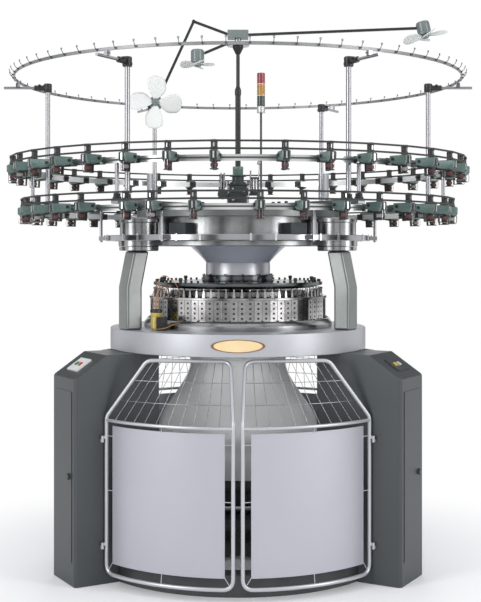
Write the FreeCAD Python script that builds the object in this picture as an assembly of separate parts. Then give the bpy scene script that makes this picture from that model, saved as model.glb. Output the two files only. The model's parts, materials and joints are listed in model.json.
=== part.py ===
import FreeCAD
import Part
import math
import os

# Circular knitting machine, millimetres, +Z up.
# The origin is on the floor under the axis of the needle cylinder. The front faces -Y.
# Angles are measured round the axis from the front towards +X.

V = FreeCAD.Vector

# fits
seat_gap = 0.3            # between pieces of different bodies that rest on each other
running_gap = 0.05        # radial, shaft in bore

# base
base_outer_r = 800.0
base_wall = 100.0
base_height = 110.0
ring_flat_count = 24      # flats of a turned ring
inner_flat_count = 16     # flats of a ring inside the machine
base_arm_width = 150.0
pivot_boss_r = 90.0
pivot_boss_height = 150.0
pivot_r = 30.0
pivot_depth = 80.0
leg_angles = (60.0, 180.0, 300.0)

# cabinets over the legs
cabinet_width = 300.0
cabinet_depth = 470.0
cabinet_stand_out = 230.0  # beyond the base frame
cabinet_slope_run = 175.0
cabinet_slope_drop = 116.0
cabinet_edge = 12.0
rear_leg_stand_out = 140.0
cover_width = 220.0
cover_bottom_z = 120.0
cover_top_z = 980.0
cover_thickness = 3.0
cover_lock_r = 14.0
cover_lock_height = 12.0
panel_width = 130.0
panel_length = 96.0
panel_thickness = 8.0
button_side = 24.0
button_pitch = 44.0
button_stand = 5.0
button_travel = 3.0

# table and cylinder bed
table_r = 704.0
table_bore_r = 400.0
table_bottom_z = 1160.0
table_height = 115.0
table_ledge_r = 374.0
table_ledge_height = 15.0
bed_outer_r = 520.0
bed_step_r = 502.0
bed_inner_r = 384.0
bed_height = 50.0
bed_step_height = 28.0
plate_length = 273.0
plate_height = 67.0
plate_thickness = 3.0
plate_side_count = 12

# cams and yarn guides
cam_count = 36            # each box serves two feeders
guide_count = 72
cam_inner_r = 384.0
cam_outer_r = 485.0
cam_height = 108.0
cam_gap = 1.6
guide_ring_inner_r = 440.0
guide_ring_outer_r = 491.0
guide_ring_height = 13.0
guide_r = 459.0
guide_width = 15.0
guide_depth = 9.0
guide_height = 47.0

# needle cylinder, main gear ring and dial
cylinder_r = 381.0
cylinder_wall = 20.0
gear_ring_height = 40.0
gear_ring_wall = 46.0
dial_r = 376.0
dial_height = 30.0
dial_above_cylinder = 12.0
dial_shaft_r = 30.0
dial_shaft_top_z = 1890.0

# dial cam plate and its hub
dial_plate_bottom_z = 1490.0
dial_plate_bottom_r = 412.0
dial_plate_r = 468.0
dial_plate_taper = 16.0
dial_plate_rim = 17.0
knob_count = 12
knob_r = 11.0
knob_height = 24.0
knob_circle_r = 430.0
hub_ring_r = 200.0
hub_ring_height = 35.0
hub_r = 178.0
hub_height = 69.0
cone_top_r = 265.0
cone_flat_count = 18

# platform on three columns
platform_bottom_z = 1715.0
platform_flange_r = 560.0
platform_flange_height = 30.0
drum_r = 470.0
drum_height = 123.0
top_plate_height = 45.0
boss_circle_r = 605.0
boss_r = 108.0
boss_side_count = 12
boss_drop = 25.0
boss_top_drop = 3.0
column_width = 115.0
column_depth = 88.0
column_foot_outer_r = 700.0
column_lean = 40.0
column_bend_z = 1500.0
rail_wall = 14.0
rail_height = 30.0
rail_drop = 29.0
rail_rod_circle_r = 760.0
rail_rod_r = 8.0

# arms, posts and the two feeder rings
arm_angles = (30.0, 90.0, 150.0, 210.0, 270.0, 330.0)
arm_width = 42.0
arm_height = 25.0
arm_inner_r = 330.0
arm_outer_r = 1160.0
post_bar_gap = 1.5        # posts stand inside the lower bar
post_r = 12.5
post_top_z = 2572.0
ring_post_r = 10.0
bar_wall = 20.0
bar_height = 30.0
lower_bar_r = 1080.0
upper_bar_r = 1140.0
upper_bar_z = 2105.0
feeder_width = 45.0
feeder_reach = 112.0
feeder_height = 42.0
feeder_nose_drop = 48.0
feeder_nose_rake = 16.0
feeder_pitch_angle = 10.0
feeder_arm_room_angle = 3.4
spindle_offset = 90.0
pulley_r = 17.0
pulley_height = 46.0
pulley_side_count = 4
belt_thickness = 4.0
belt_width = 10.0
belt_pitch = 35.0
upper_left_start_angle = -5.0
upper_right_start_angle = 10.0
lower_left_start_angle = -10.0
lower_right_start_angle = 5.0

# creel ring
tee_side = 46.0
creel_rod_r = 8.0
creel_rod_overhang = 78.0
creel_reach = 166.0       # from the posts out to the ring
creel_ring_wall = 6.0
creel_ring_height = 16.0
creel_clamp_width = 20.0
creel_clamp_height = 19.0

# feed drive on the platform
drive_inner_r = 470.0
drive_width = 92.0
drive_depth = 84.0
drive_height = 118.0
drive_motor_r = 42.0
drive_motor_height = 92.0
drive_wheel_places = ((-24.0, 40.0, 28.0), (30.0, 82.0, 20.0))  # across, up, radius
drive_wheel_width = 22.0
gear_case_width = 110.0
gear_case_depth = 70.0
gear_case_height = 92.0
gear_case_angles = (-36.0, 36.0)

# fans
fan_post_r = 15.0
fan_post_top_r = 10.0
fan_post_step_z = 2600.0
fan_cone_r = 30.0
fan_cone_bottom_z = 2780.0
fan_cone_height = 46.0
fan_disc_r = 62.0
fan_disc_height = 10.0
fan_stem_height = 32.0
fan_box_length = 116.0
fan_box_width = 84.0
fan_box_height = 44.0
fan_spindle_r = 8.0
fan_stem_r = 18.0
fan_spindle_rise = 27.0    # into the head's box
fan_arm_side = 14.0
fan_arm_lift = 4.0
fan_motor_r = 38.0
fan_motor_length = 74.0
fan_shaft_r = 5.0
fan_shaft_length = 26.0
fan_hub_r = 20.0
fan_hub_length = 22.0
fan_blades = 4
long_fan_r = 152.0
short_fan_r = 100.0
right_fan_r = 130.0
long_elbow_x = 246.0
long_elbow_rise = 74.0     # above the middle of the head's box
long_motor_x = 455.0
long_motor_drop = 380.0    # below the middle of the head's box
short_motor_x = 225.0
short_motor_drop = 118.0
right_motor_x = 1030.0
right_motor_rise = 38.0
right_fan_tilt_angle = 12.8

# signal lamp
lamp_x = 128.0
lamp_r = 22.5
lamp_post_r = 6.0
lamp_base_z = 2456.0
lamp_levels = (34.0, 62.0, 64.0, 62.0)

# oiler on the table
oiler_circle_r = 560.0
oiler_angle = -50.0
oiler_r = 29.0
oiler_height = 92.0
oiler_cap_height = 18.0
pipe_r = 3.0
sensor_angle = -44.0
sensor_side = 42.0
sensor_height = 70.0

# take-down under the cylinder
side_plate_x = 500.0
side_plate_wall = 12.0
side_plate_width = 110.0
side_plate_neck_x = 356.0
side_plate_shoulder_z = 1095.0
side_plate_slope_rise = 50.0
crossbeam_height = 36.0
crossbeam_width = 90.0
roller_r = 35.0
roller_z = 384.0
nip_gap = 2.2
journal_r = 12.0
winding_bar_r = 20.0
winding_bar_z = 262.0

# fabric tube
fabric_side_count = 12
fabric_nip_half = 0.7
fabric_half_width = 452.0

# doors between the legs
door_stand_out = 80.0     # beyond the base frame
door_half_gap = 23.04      # from the middle of the pair to the tube's middle
door_leg_gap = 16.4       # from the leg's face to the tube's middle
door_tube = 20.0
door_bottom_z = 60.0
door_rail_z = 835.0
door_bend_z = 852.0
door_top_z = 1138.0
door_lean_inner = 222.0
door_lean_outer = 120.4
door_top_inner_shift_angle = 1.64
door_top_outer_shift_angle = -12.0
door_flat_count = 3
door_panel_inner_shift_angle = 2.7
door_panel_outer_shift_angle = -2.4
door_panel_set_in = 12.0
door_panel_wall = 2.0
door_panel_bottom_z = 112.0
door_panel_top_z = 822.0
door_strap_heights = (480.0, 755.0)
door_strap_height = 14.0
guard_wire = 5.0
guard_uprights = 5
guard_crosses = 1
hinge_heights = (200.0, 740.0)
hinge_offset = 22.0
hinge_lug_side = 14.0
hinge_lug_height = 16.0
hinge_pin_r = 4.0
hinge_pin_side_count = 4
pair_angles = (0.0, 120.0, 240.0)

# derived sizes
base_inner_r = base_outer_r - base_wall
cabinet_outer_r = base_outer_r + cabinet_stand_out
cabinet_inner_r = cabinet_outer_r - cabinet_depth
cabinet_slope_top_r = cabinet_outer_r - cabinet_slope_run
rear_leg_outer_r = base_outer_r + rear_leg_stand_out
door_r = base_outer_r + door_stand_out
door_panel_r = door_r - door_panel_set_in
door_inner_angle = math.degrees(math.asin(door_half_gap / door_r))
door_outer_angle = leg_angles[0] - math.degrees(math.asin((cabinet_width / 2 + door_leg_gap) / door_r))
door_top_inner_angle = door_inner_angle + door_top_inner_shift_angle
door_top_outer_angle = door_outer_angle + door_top_outer_shift_angle
door_panel_inner_angle = door_inner_angle + door_panel_inner_shift_angle
door_panel_outer_angle = door_outer_angle + door_panel_outer_shift_angle
post_circle_r = lower_bar_r - bar_wall / 2 - post_r - post_bar_gap
ring_post_circle_r = upper_bar_r
creel_ring_r = post_circle_r + creel_reach
creel_rod_outer_r = creel_ring_r + creel_rod_overhang
fan_disc_z = fan_cone_bottom_z + fan_cone_height
fan_box_z = fan_disc_z + fan_disc_height + fan_stem_height
fan_spindle_top_z = fan_box_z + fan_spindle_rise
fan_box_middle_z = fan_box_z + fan_box_height / 2
long_elbow = V(-long_elbow_x, 0, fan_box_middle_z + long_elbow_rise)
long_motor = V(-long_motor_x, 0, fan_box_middle_z - long_motor_drop)
short_motor = V(-short_motor_x, 0, fan_box_middle_z - short_motor_drop)
right_motor = V(right_motor_x, 0, fan_box_middle_z + right_motor_rise)
cabinet_top_z = table_bottom_z
cabinet_slope_foot_z = cabinet_top_z - cabinet_slope_drop
table_top_z = table_bottom_z + table_height
bed_top_z = table_top_z + bed_height
cam_top_z = bed_top_z + cam_height
guide_ring_top_z = cam_top_z + guide_ring_height
gear_ring_bottom_z = table_bottom_z + table_ledge_height + seat_gap
gear_ring_r = table_bore_r - seat_gap
cylinder_bottom_z = gear_ring_bottom_z + gear_ring_height
dial_bottom_z = cam_top_z + dial_above_cylinder - 1.0
dial_plate_top_z = dial_plate_bottom_z + dial_plate_taper + dial_plate_rim
hub_bottom_z = dial_plate_top_z + hub_ring_height
drum_top_z = platform_bottom_z + platform_flange_height + drum_height
platform_top_z = drum_top_z + top_plate_height
arm_top_z = platform_top_z + arm_height
lower_bar_z = platform_top_z - bar_height
slope_angle = math.degrees(math.atan2(cabinet_slope_drop, cabinet_slope_run))


def polar(radius, angle, z):
    a = math.radians(angle)
    return V(radius * math.sin(a), -radius * math.cos(a), z)


def turned(shape, angle):
    copy = shape.copy()
    copy.rotate(V(0, 0, 0), V(0, 0, 1), angle)
    return copy


def prism_from(points, direction):
    wire = Part.makePolygon(list(points) + [points[0]])
    return Part.Face(wire).extrude(direction)


def block(x0, x1, y0, y1, z0, z1):
    return Part.makeBox(x1 - x0, y1 - y0, z1 - z0, V(x0, y0, z0))


def radial_block(width, r0, r1, z0, z1, angle):
    """A block of the given width that lies along the radius at an angle."""
    return turned(block(-width / 2, width / 2, -r1, -r0, z0, z1), angle)


def disc(radius, z0, z1, sides):
    """An upright bar of regular section, flats at radius."""
    return prism_from(flat_polygon(radius, even_angles(sides), z0), V(0, 0, z1 - z0))


def corner_radius_to_flat(radius, sides):
    """Size across the flats of a turning piece whose corners run at radius."""
    return radius * math.cos(math.pi / sides)


def lathe(profile, sides):
    """Turns a closed profile of (radius, z) points about the axis, in flats."""
    rows = [flat_polygon(r, even_angles(sides), z) for r, z in profile]
    faces = []
    for index, row in enumerate(rows):
        following = rows[(index + 1) % len(rows)]
        for i in range(sides):
            j = (i + 1) % sides
            corners = (row[i], row[j], following[j], following[i])
            faces.append(Part.Face(Part.makePolygon(list(corners) + [corners[0]])))
    solid = Part.Solid(Part.makeShell(faces))
    if solid.Volume < 0:
        solid.reverse()
    return solid.removeSplitter()


def banded_solid(rows):
    """A closed solid through rows of corners, one band of flats between rows."""
    faces = []
    count = len(rows[0])
    for lower, upper in zip(rows, rows[1:]):
        for i in range(count):
            j = (i + 1) % count
            corners = (lower[i], lower[j], upper[j], upper[i])
            faces.append(Part.Face(Part.makePolygon(list(corners) + [corners[0]])))
    for row in (rows[0], rows[-1]):
        faces.append(Part.Face(Part.makePolygon(list(row) + [row[0]])))
    solid = Part.Solid(Part.makeShell(faces))
    if solid.Volume < 0:
        solid.reverse()
    return solid


def banded_triangles(rows, closed):
    """A solid through rows of corners whose bands may be warped, in triangles."""
    faces = []
    count = len(rows[0])
    for row, following in zip(rows, rows[1:]):
        for i in range(count):
            j = (i + 1) % count
            for corners in ((row[i], row[j], following[j]), (row[i], following[j], following[i])):
                faces.append(Part.Face(Part.makePolygon(list(corners) + [corners[0]])))
    if not closed:
        for row in (rows[0], rows[-1]):
            faces.append(Part.Face(Part.makePolygon(list(row) + [row[0]])))
    solid = Part.Solid(Part.makeShell(faces))
    if solid.Volume < 0:
        solid.reverse()
    return solid


def flat_polygon(apothem, angles, z):
    """Corners of the polygon whose flats touch a circle at the given angles."""
    corners = []
    for index, angle in enumerate(angles):
        following = angles[(index + 1) % len(angles)]
        span = (following - angle) % 360.0
        corners.append(polar(apothem / math.cos(math.radians(span / 2)), angle + span / 2, z))
    return corners


def even_angles(count):
    return [360.0 * i / count for i in range(count)]


def flat_ring(outer, inner, angles, z0, z1):
    """A ring bent in short flats, one at each angle."""
    height = V(0, 0, z1 - z0)
    outside = prism_from(flat_polygon(outer, angles, z0), height)
    return outside.cut(prism_from(flat_polygon(inner, angles, z0), height))


def regular_bar(start, end, reach, sides, phase):
    """A straight bar of regular section with its corners at reach from its own axis."""
    along = end - start
    corners = []
    for i in range(sides):
        a = 2 * math.pi * (i + phase) / sides
        corners.append(V(reach * math.cos(a), reach * math.sin(a), 0))
    bar = prism_from(corners, V(0, 0, along.Length))
    bar.Placement = FreeCAD.Placement(start, FreeCAD.Rotation(V(0, 0, 1), along))
    return bar


def rod(start, end, radius, sides=8):
    """A straight bar of regular section, flats at radius, from start to end."""
    return regular_bar(start, end, radius / math.cos(math.pi / sides), sides, 0.5)


def spindle(start, end, radius, sides=8):
    """A turning bar whose corners run at radius, so that it clears a bore of that size."""
    return regular_bar(start, end, radius, sides, 0.0)


def fused(shapes):
    shapes = list(shapes)
    if len(shapes) == 1:
        return shapes[0]
    return shapes[0].fuse(shapes[1:]).removeSplitter()


def save(name, shapes):
    if not isinstance(shapes, (list, tuple)):
        shapes = [shapes]
    solids = []
    for shape in shapes:
        solids.extend(shape.Solids)
    for solid in solids:
        if not solid.isValid() or solid.Volume <= 0:
            raise ValueError(name + " holds a bad solid")
    whole = solids[0] if len(solids) == 1 else Part.makeCompound(solids)
    whole.exportStep("parts/" + name + ".step")


# ---------------------------------------------------------------- base and legs

def base_frame():
    """Welded ring with three arms to the boss that carries the take-down pivot."""
    angles = even_angles(ring_flat_count)
    whole = [flat_ring(base_outer_r, base_inner_r, angles, 0, base_height)]
    for angle in leg_angles:
        reach = (base_inner_r + base_outer_r) / 2
        whole.append(radial_block(base_arm_width, 0, reach, 20, base_height - 10, angle))
    whole.append(disc(pivot_boss_r, 20, pivot_boss_height, 8))
    frame = fused(whole)
    return frame.cut(disc(pivot_r + running_gap, pivot_boss_height - pivot_depth, pivot_boss_height, 8))


def over_base(shape):
    """Cuts the arch in a leg that stands over the base frame."""
    angles = even_angles(ring_flat_count)
    gap = 2 * seat_gap
    arch = flat_ring(base_outer_r + gap, base_inner_r - gap, angles, -1, base_height + gap)
    reach = (base_inner_r + base_outer_r) / 2
    for angle in leg_angles:
        arch = arch.fuse(radial_block(base_arm_width + 2 * gap, base_inner_r - cabinet_depth, reach, -1,
                                      base_height + gap, angle))
    return shape.cut(arch)


def cabinet(angle):
    """Slab-shaped leg cabinet with its sloping control top."""
    half = cabinet_width / 2
    outline = (
        (cabinet_inner_r, 0),
        (cabinet_outer_r, 0),
        (cabinet_outer_r, cabinet_slope_foot_z),
        (cabinet_slope_top_r, cabinet_top_z),
        (cabinet_inner_r, cabinet_top_z),
    )
    body = prism_from([V(-half, -r, z) for r, z in outline], V(cabinet_width, 0, 0))
    edges = []
    for edge in body.Edges:
        upright = abs(edge.tangentAt(edge.FirstParameter).z) > 0.99
        if upright and edge.BoundBox.YMin < -cabinet_outer_r + 1:
            edges.append(edge)
    body = body.makeChamfer(cabinet_edge, edges)
    return over_base(turned(body, angle))


def rear_leg():
    half = cabinet_width / 2
    body = block(-half, half, -rear_leg_outer_r, -cabinet_inner_r, 0, cabinet_top_z)
    return over_base(turned(body, 180.0))


def on_slope(shape, angle):
    """Carries a shape from the origin to the middle of a cabinet's sloping top."""
    copy = shape.copy()
    copy.rotate(V(0, 0, 0), V(1, 0, 0), slope_angle)
    middle_r = (cabinet_outer_r + cabinet_slope_top_r) / 2
    middle_z = (cabinet_top_z + cabinet_slope_foot_z) / 2
    copy.translate(V(0, -middle_r, middle_z))
    return turned(copy, angle)


def control_panel(angle):
    width = panel_width / 2
    length = panel_length / 2
    plate = block(-width, width, -length, length, 0, panel_thickness)
    hole = button_side / 2 + seat_gap
    for side in (-1, 1):
        x = side * button_pitch / 2
        plate = plate.cut(block(x - hole, x + hole, -hole, hole, 0, panel_thickness))
    return on_slope(plate, angle)


def push_button(side, angle):
    half = button_side / 2
    x = side * button_pitch / 2
    bottom = button_travel + seat_gap
    return on_slope(block(x - half, x + half, -half, half, bottom, panel_thickness + button_stand), angle)


def cabinet_cover(angle):
    r = cabinet_outer_r
    return radial_block(cover_width, r, r + cover_thickness, cover_bottom_z, cover_top_z, angle)


def cover_lock(angle):
    r = cabinet_outer_r + cover_thickness
    z = (cover_bottom_z + cover_top_z) / 2
    side = 0.36 * cover_width
    start = V(side, -r, z)
    return turned(rod(start, start + V(0, -cover_lock_height, 0), cover_lock_r, 6), angle)


# ---------------------------------------------------------------- table, cams, cylinder

def machine_table():
    return lathe((
        (table_ledge_r, table_bottom_z),
        (table_r, table_bottom_z),
        (table_r, table_top_z),
        (table_bore_r, table_top_z),
        (table_bore_r, table_bottom_z + table_ledge_height),
        (table_ledge_r, table_bottom_z + table_ledge_height),
    ), ring_flat_count)


def cylinder_bed():
    return lathe((
        (bed_inner_r, table_top_z),
        (bed_outer_r, table_top_z),
        (bed_outer_r, table_top_z + bed_step_height),
        (bed_step_r, bed_top_z),
        (bed_inner_r, bed_top_z),
    ), ring_flat_count)


def nameplate():
    """Oval plate bent to the flats of the table's skirt."""
    corners = []
    middle_z = table_bottom_z + table_height / 2
    for i in range(plate_side_count):
        a = 2 * math.pi * i / plate_side_count
        x = plate_length / 2 * math.cos(a)
        corners.append(V(x, 0, middle_z + plate_height / 2 * math.sin(a)))
    oval = prism_from(corners, V(0, -table_r - plate_thickness - 10, 0))
    shell = flat_ring(table_r + plate_thickness, table_r, even_angles(ring_flat_count),
                      table_bottom_z, table_top_z)
    return oval.common(shell)


def cam_boxes():
    """Wedge-shaped cam boxes with a narrow gap between neighbours."""
    boxes = []
    half = math.radians(180.0 / cam_count)
    inner = cam_inner_r * math.tan(half) - cam_gap / 2
    outer = cam_outer_r * math.tan(half) - cam_gap / 2
    for i in range(cam_count):
        corners = [
            V(-inner, -cam_inner_r, bed_top_z),
            V(inner, -cam_inner_r, bed_top_z),
            V(outer, -cam_outer_r, bed_top_z),
            V(-outer, -cam_outer_r, bed_top_z),
        ]
        boxes.append(turned(prism_from(corners, V(0, 0, cam_height)), 360.0 * (i + 0.5) / cam_count))
    return boxes


def guide_ring():
    angles = even_angles(ring_flat_count)
    return flat_ring(guide_ring_outer_r, guide_ring_inner_r, angles, cam_top_z, guide_ring_top_z)


def yarn_guides():
    """Slim pointed guides, three-sided, that lead the yarn in over the cam boxes."""
    foot = [
        V(-guide_width / 2, -guide_r - guide_depth, guide_ring_top_z),
        V(guide_width / 2, -guide_r - guide_depth, guide_ring_top_z),
        V(0, -guide_r, guide_ring_top_z),
    ]
    tip = V(0, -guide_r - guide_depth, guide_ring_top_z + guide_height)
    faces = [Part.Face(Part.makePolygon(foot + foot[:1]))]
    for i in range(3):
        faces.append(Part.Face(Part.makePolygon([foot[i], foot[(i + 1) % 3], tip, foot[i]])))
    guide = Part.Solid(Part.makeShell(faces))
    if guide.Volume < 0:
        guide.reverse()
    return [turned(guide, 360.0 * (i + 0.5) / guide_count) for i in range(guide_count)]


def turning_ring(outer, inner, z0, z1, sides):
    """A ring that turns: its outer corners run at the outer radius."""
    return flat_ring(corner_radius_to_flat(outer, sides), inner, even_angles(sides), z0, z1)


def gear_ring():
    inner = gear_ring_r - gear_ring_wall
    return turning_ring(gear_ring_r, inner, gear_ring_bottom_z, cylinder_bottom_z, inner_flat_count)


def needle_cylinder():
    inner = cylinder_r - cylinder_wall
    return turning_ring(cylinder_r, inner, cylinder_bottom_z, cam_top_z - 1.0, inner_flat_count)


def needle_dial():
    """Dial and the shaft that turns it, in one piece from the forge."""
    flat = corner_radius_to_flat(dial_r, inner_flat_count)
    top = dial_bottom_z + dial_height
    plate = disc(flat, dial_bottom_z, top, inner_flat_count)
    return plate.fuse(spindle(V(0, 0, top - 10), V(0, 0, dial_shaft_top_z), dial_shaft_r, 8)).removeSplitter()


def shaft_bore(z0, z1):
    return disc(dial_shaft_r + running_gap, z0, z1, 8)


def dial_cam_plate():
    """Fixed plate over the dial, with a bevelled under side and a thick rim."""
    rim_z = dial_plate_bottom_z + dial_plate_taper
    angles = even_angles(ring_flat_count)
    lower = flat_polygon(dial_plate_bottom_r, angles, dial_plate_bottom_z)
    middle = flat_polygon(dial_plate_r, angles, rim_z)
    upper = flat_polygon(dial_plate_r, angles, dial_plate_top_z)
    return banded_solid((lower, middle, upper)).cut(shaft_bore(dial_plate_bottom_z, dial_plate_top_z))


def dial_knobs():
    knobs = []
    for i in range(knob_count):
        foot = polar(knob_circle_r, 360.0 * (i + 0.5) / knob_count, dial_plate_top_z)
        knobs.append(rod(foot, foot + V(0, 0, knob_height), knob_r, 4))
    return knobs


def hub_ring():
    ring = disc(hub_ring_r, dial_plate_top_z, hub_bottom_z, inner_flat_count)
    return ring.cut(shaft_bore(dial_plate_top_z, hub_bottom_z))


def dial_hub():
    """Turned hub and the cone that spreads it to the platform."""
    angles = even_angles(cone_flat_count)
    foot = flat_polygon(hub_r, angles, hub_bottom_z)
    neck = flat_polygon(hub_r, angles, hub_bottom_z + hub_height)
    flare = flat_polygon(cone_top_r, angles, platform_bottom_z)
    return banded_solid((foot, neck, flare)).cut(shaft_bore(hub_bottom_z, platform_bottom_z))


# ---------------------------------------------------------------- platform and columns

def platform():
    """Round casting with a boss over each column and a bore for the dial shaft."""
    flange_z = platform_bottom_z + platform_flange_height
    flange = disc(platform_flange_r, platform_bottom_z, flange_z, ring_flat_count)
    drum = disc(drum_r, platform_bottom_z, drum_top_z, ring_flat_count)
    bosses = []
    for angle in leg_angles:
        foot = polar(boss_circle_r, 0, platform_bottom_z - boss_drop)
        top = polar(boss_circle_r, 0, drum_top_z - boss_top_drop)
        bosses.append(turned(rod(foot, top, boss_r, boss_side_count), angle))
    casting = fused([flange, drum] + bosses)
    return casting.cut(shaft_bore(platform_bottom_z, drum_top_z))


def top_plate():
    plate = disc(platform_flange_r, drum_top_z, platform_top_z, ring_flat_count)
    return plate.cut(disc(dial_shaft_r + 1.0, drum_top_z, dial_shaft_top_z + 1.0, 8))


def columns():
    """Three columns, upright on the table and leaning in to the platform bosses."""
    outer = column_foot_outer_r
    inner = outer - column_depth
    top_z = platform_bottom_z - boss_drop
    outline = (
        (inner, table_top_z),
        (outer, table_top_z),
        (outer, column_bend_z),
        (outer - column_lean, top_z),
        (inner - column_lean, top_z),
        (inner, column_bend_z),
    )
    half = column_width / 2
    column = prism_from([V(-half, -r, z) for r, z in outline], V(column_width, 0, 0))
    return [turned(column, angle) for angle in leg_angles]


def rail_ring():
    inner = boss_circle_r + boss_r + seat_gap
    z = platform_bottom_z + rail_drop
    return flat_ring(inner + rail_wall, inner, even_angles(ring_flat_count), z, z + rail_height)


def rail_rods():
    """Rods that tie the band to the arms above, each with its clamp block."""
    outer = boss_circle_r + boss_r + seat_gap + rail_wall
    z = platform_bottom_z + rail_drop
    pieces = []
    for angle in arm_angles:
        centre = rail_rod_circle_r
        pieces.append(radial_block(24, outer, centre - rail_rod_r, z + 4, z + rail_height - 4, angle))
        upright = regular_bar(polar(centre, 0, z - 6), polar(centre, 0, platform_top_z), rail_rod_r, 4, 0.5)
        pieces.append(turned(upright, angle))
    return pieces


# ---------------------------------------------------------------- feeder rings

def beside_arm(angle):
    """Moves a feeder that would stand on an arm to the arm's front side."""
    for arm in arm_angles:
        if abs(angle - arm) < feeder_arm_room_angle:
            return arm + (feeder_arm_room_angle if angle > 180.0 else -feeder_arm_room_angle)
    return angle


def feeder_angles(left_start, right_start):
    """Feeders run back from the front on both sides and leave room for the drive."""
    angles = []
    angle = right_start
    while angle < 180.0 - feeder_pitch_angle / 4:
        angles.append(angle)
        angle += feeder_pitch_angle
    back = []
    angle = left_start
    while angle > -180.0:
        back.append(360.0 + angle)
        angle -= feeder_pitch_angle
    return angles + back[::-1]


upper_angles = feeder_angles(upper_left_start_angle, upper_right_start_angle)
lower_angles = [beside_arm(a) for a in feeder_angles(lower_left_start_angle, lower_right_start_angle)]


def with_gap_flats(angles):
    """Adds a flat in the middle of each gap wider than the feeder pitch."""
    added = []
    for index, angle in enumerate(angles):
        following = angles[(index + 1) % len(angles)]
        span = (following - angle) % 360.0
        if span > 1.4 * feeder_pitch_angle:
            added.append((angle + span / 2) % 360.0)
    return sorted(angles + added)


def ring_arms():
    pieces = []
    for angle in arm_angles:
        pieces.append(radial_block(arm_width, arm_inner_r, arm_outer_r, platform_top_z, arm_top_z, angle))
    return pieces


def feeder_bar(bar_r, bar_z, angles):
    return flat_ring(bar_r + bar_wall / 2, bar_r - bar_wall / 2, with_gap_flats(angles),
                     bar_z, bar_z + bar_height)


def yarn_feeders(bar_r, bar_z, angles):
    """Positive feeders: a housing on the bar with the yarn wheel's nose under it."""
    inner = bar_r + bar_wall / 2
    outer = inner + feeder_reach
    top = bar_z + feeder_height
    outline = (
        (inner, bar_z),
        (outer - feeder_nose_rake, bar_z - feeder_nose_drop),
        (outer, top),
        (inner, top),
    )
    half = feeder_width / 2
    feeder = prism_from([V(-half, -r, z) for r, z in outline], V(feeder_width, 0, 0))
    return [turned(feeder, angle) for angle in angles]


def feeder_pulleys(bar_r, bar_z, angles):
    z = bar_z + feeder_height
    r = bar_r + spindle_offset
    pieces = []
    for angle in angles:
        foot = polar(r, 0, z)
        top = foot + V(0, 0, pulley_height)
        pieces.append(turned(spindle(foot, top, pulley_r, pulley_side_count), angle))
    return pieces


def feeder_belts(bar_r, bar_z, angles):
    """Two toothed belts that run straight from one pulley to the next."""
    r = bar_r + spindle_offset + pulley_r + seat_gap
    belts = []
    for level in (0, 1):
        z = bar_z + feeder_height + 1 + level * belt_pitch
        inside = [polar(r, angle, z) for angle in angles]
        outside = [polar(r + belt_thickness, angle, z) for angle in angles]
        height = V(0, 0, belt_width)
        belts.append(prism_from(outside, height).cut(prism_from(inside, height)))
    return belts


def creel_posts():
    return [
        turned(rod(polar(post_circle_r, 0, arm_top_z), polar(post_circle_r, 0, post_top_z), post_r, 5), a)
        for a in arm_angles
    ]


def ring_posts():
    return [
        turned(rod(polar(ring_post_circle_r, 0, arm_top_z), polar(ring_post_circle_r, 0, upper_bar_z),
                   ring_post_r, 4), a)
        for a in arm_angles
    ]


# ---------------------------------------------------------------- creel ring

def creel_tees():
    pieces = []
    for angle in arm_angles:
        inner = post_circle_r - tee_side / 2
        outer = post_circle_r + tee_side / 2
        pieces.append(radial_block(tee_side, inner, outer, post_top_z, post_top_z + tee_side, angle))
    return pieces


def creel_rods():
    z = post_top_z + tee_side / 2
    pieces = []
    for angle in arm_angles:
        start = polar(post_circle_r + tee_side / 2, 0, z)
        pieces.append(turned(rod(start, polar(creel_rod_outer_r, 0, z), creel_rod_r, 4), angle))
    return pieces


def creel_clamps():
    z = post_top_z + tee_side / 2 + creel_rod_r
    half = creel_clamp_width / 2
    pieces = []
    for angle in arm_angles:
        pieces.append(radial_block(creel_clamp_width, creel_ring_r - half, creel_ring_r + half,
                                   z, z + creel_clamp_height, angle))
    return pieces


def creel_ring():
    z = post_top_z + tee_side / 2 + creel_rod_r + creel_clamp_height
    half = creel_ring_wall / 2
    return flat_ring(creel_ring_r + half, creel_ring_r - half, even_angles(ring_flat_count),
                     z, z + creel_ring_height)


# ---------------------------------------------------------------- drive on the platform

def drive_case():
    """Gear case that takes the drive up to the feeder belts."""
    r = drive_inner_r
    return radial_block(drive_width, r, r + drive_depth, platform_top_z, platform_top_z + drive_height, 0)


def drive_motor():
    z = platform_top_z + drive_height
    foot = V(0, -drive_inner_r - drive_depth / 2, z)
    return rod(foot, foot + V(0, 0, drive_motor_height), drive_motor_r, 10)


def drive_wheels():
    """Belt wheels on the outer face of the drive case."""
    r = drive_inner_r + drive_depth
    pieces = []
    for x, rise, radius in drive_wheel_places:
        centre = V(x, -r, platform_top_z + rise)
        pieces.append(rod(centre, centre + V(0, -drive_wheel_width, 0), radius, 8))
    return pieces


def gear_cases():
    pieces = []
    z = platform_bottom_z + platform_flange_height
    for angle in gear_case_angles:
        reach = drum_r + gear_case_depth
        box = radial_block(gear_case_width, drum_r - 20, reach, z, z + gear_case_height, angle)
        pieces.append(box.cut(disc(drum_r, z, z + gear_case_height, ring_flat_count)))
    return pieces


# ---------------------------------------------------------------- fans

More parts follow.
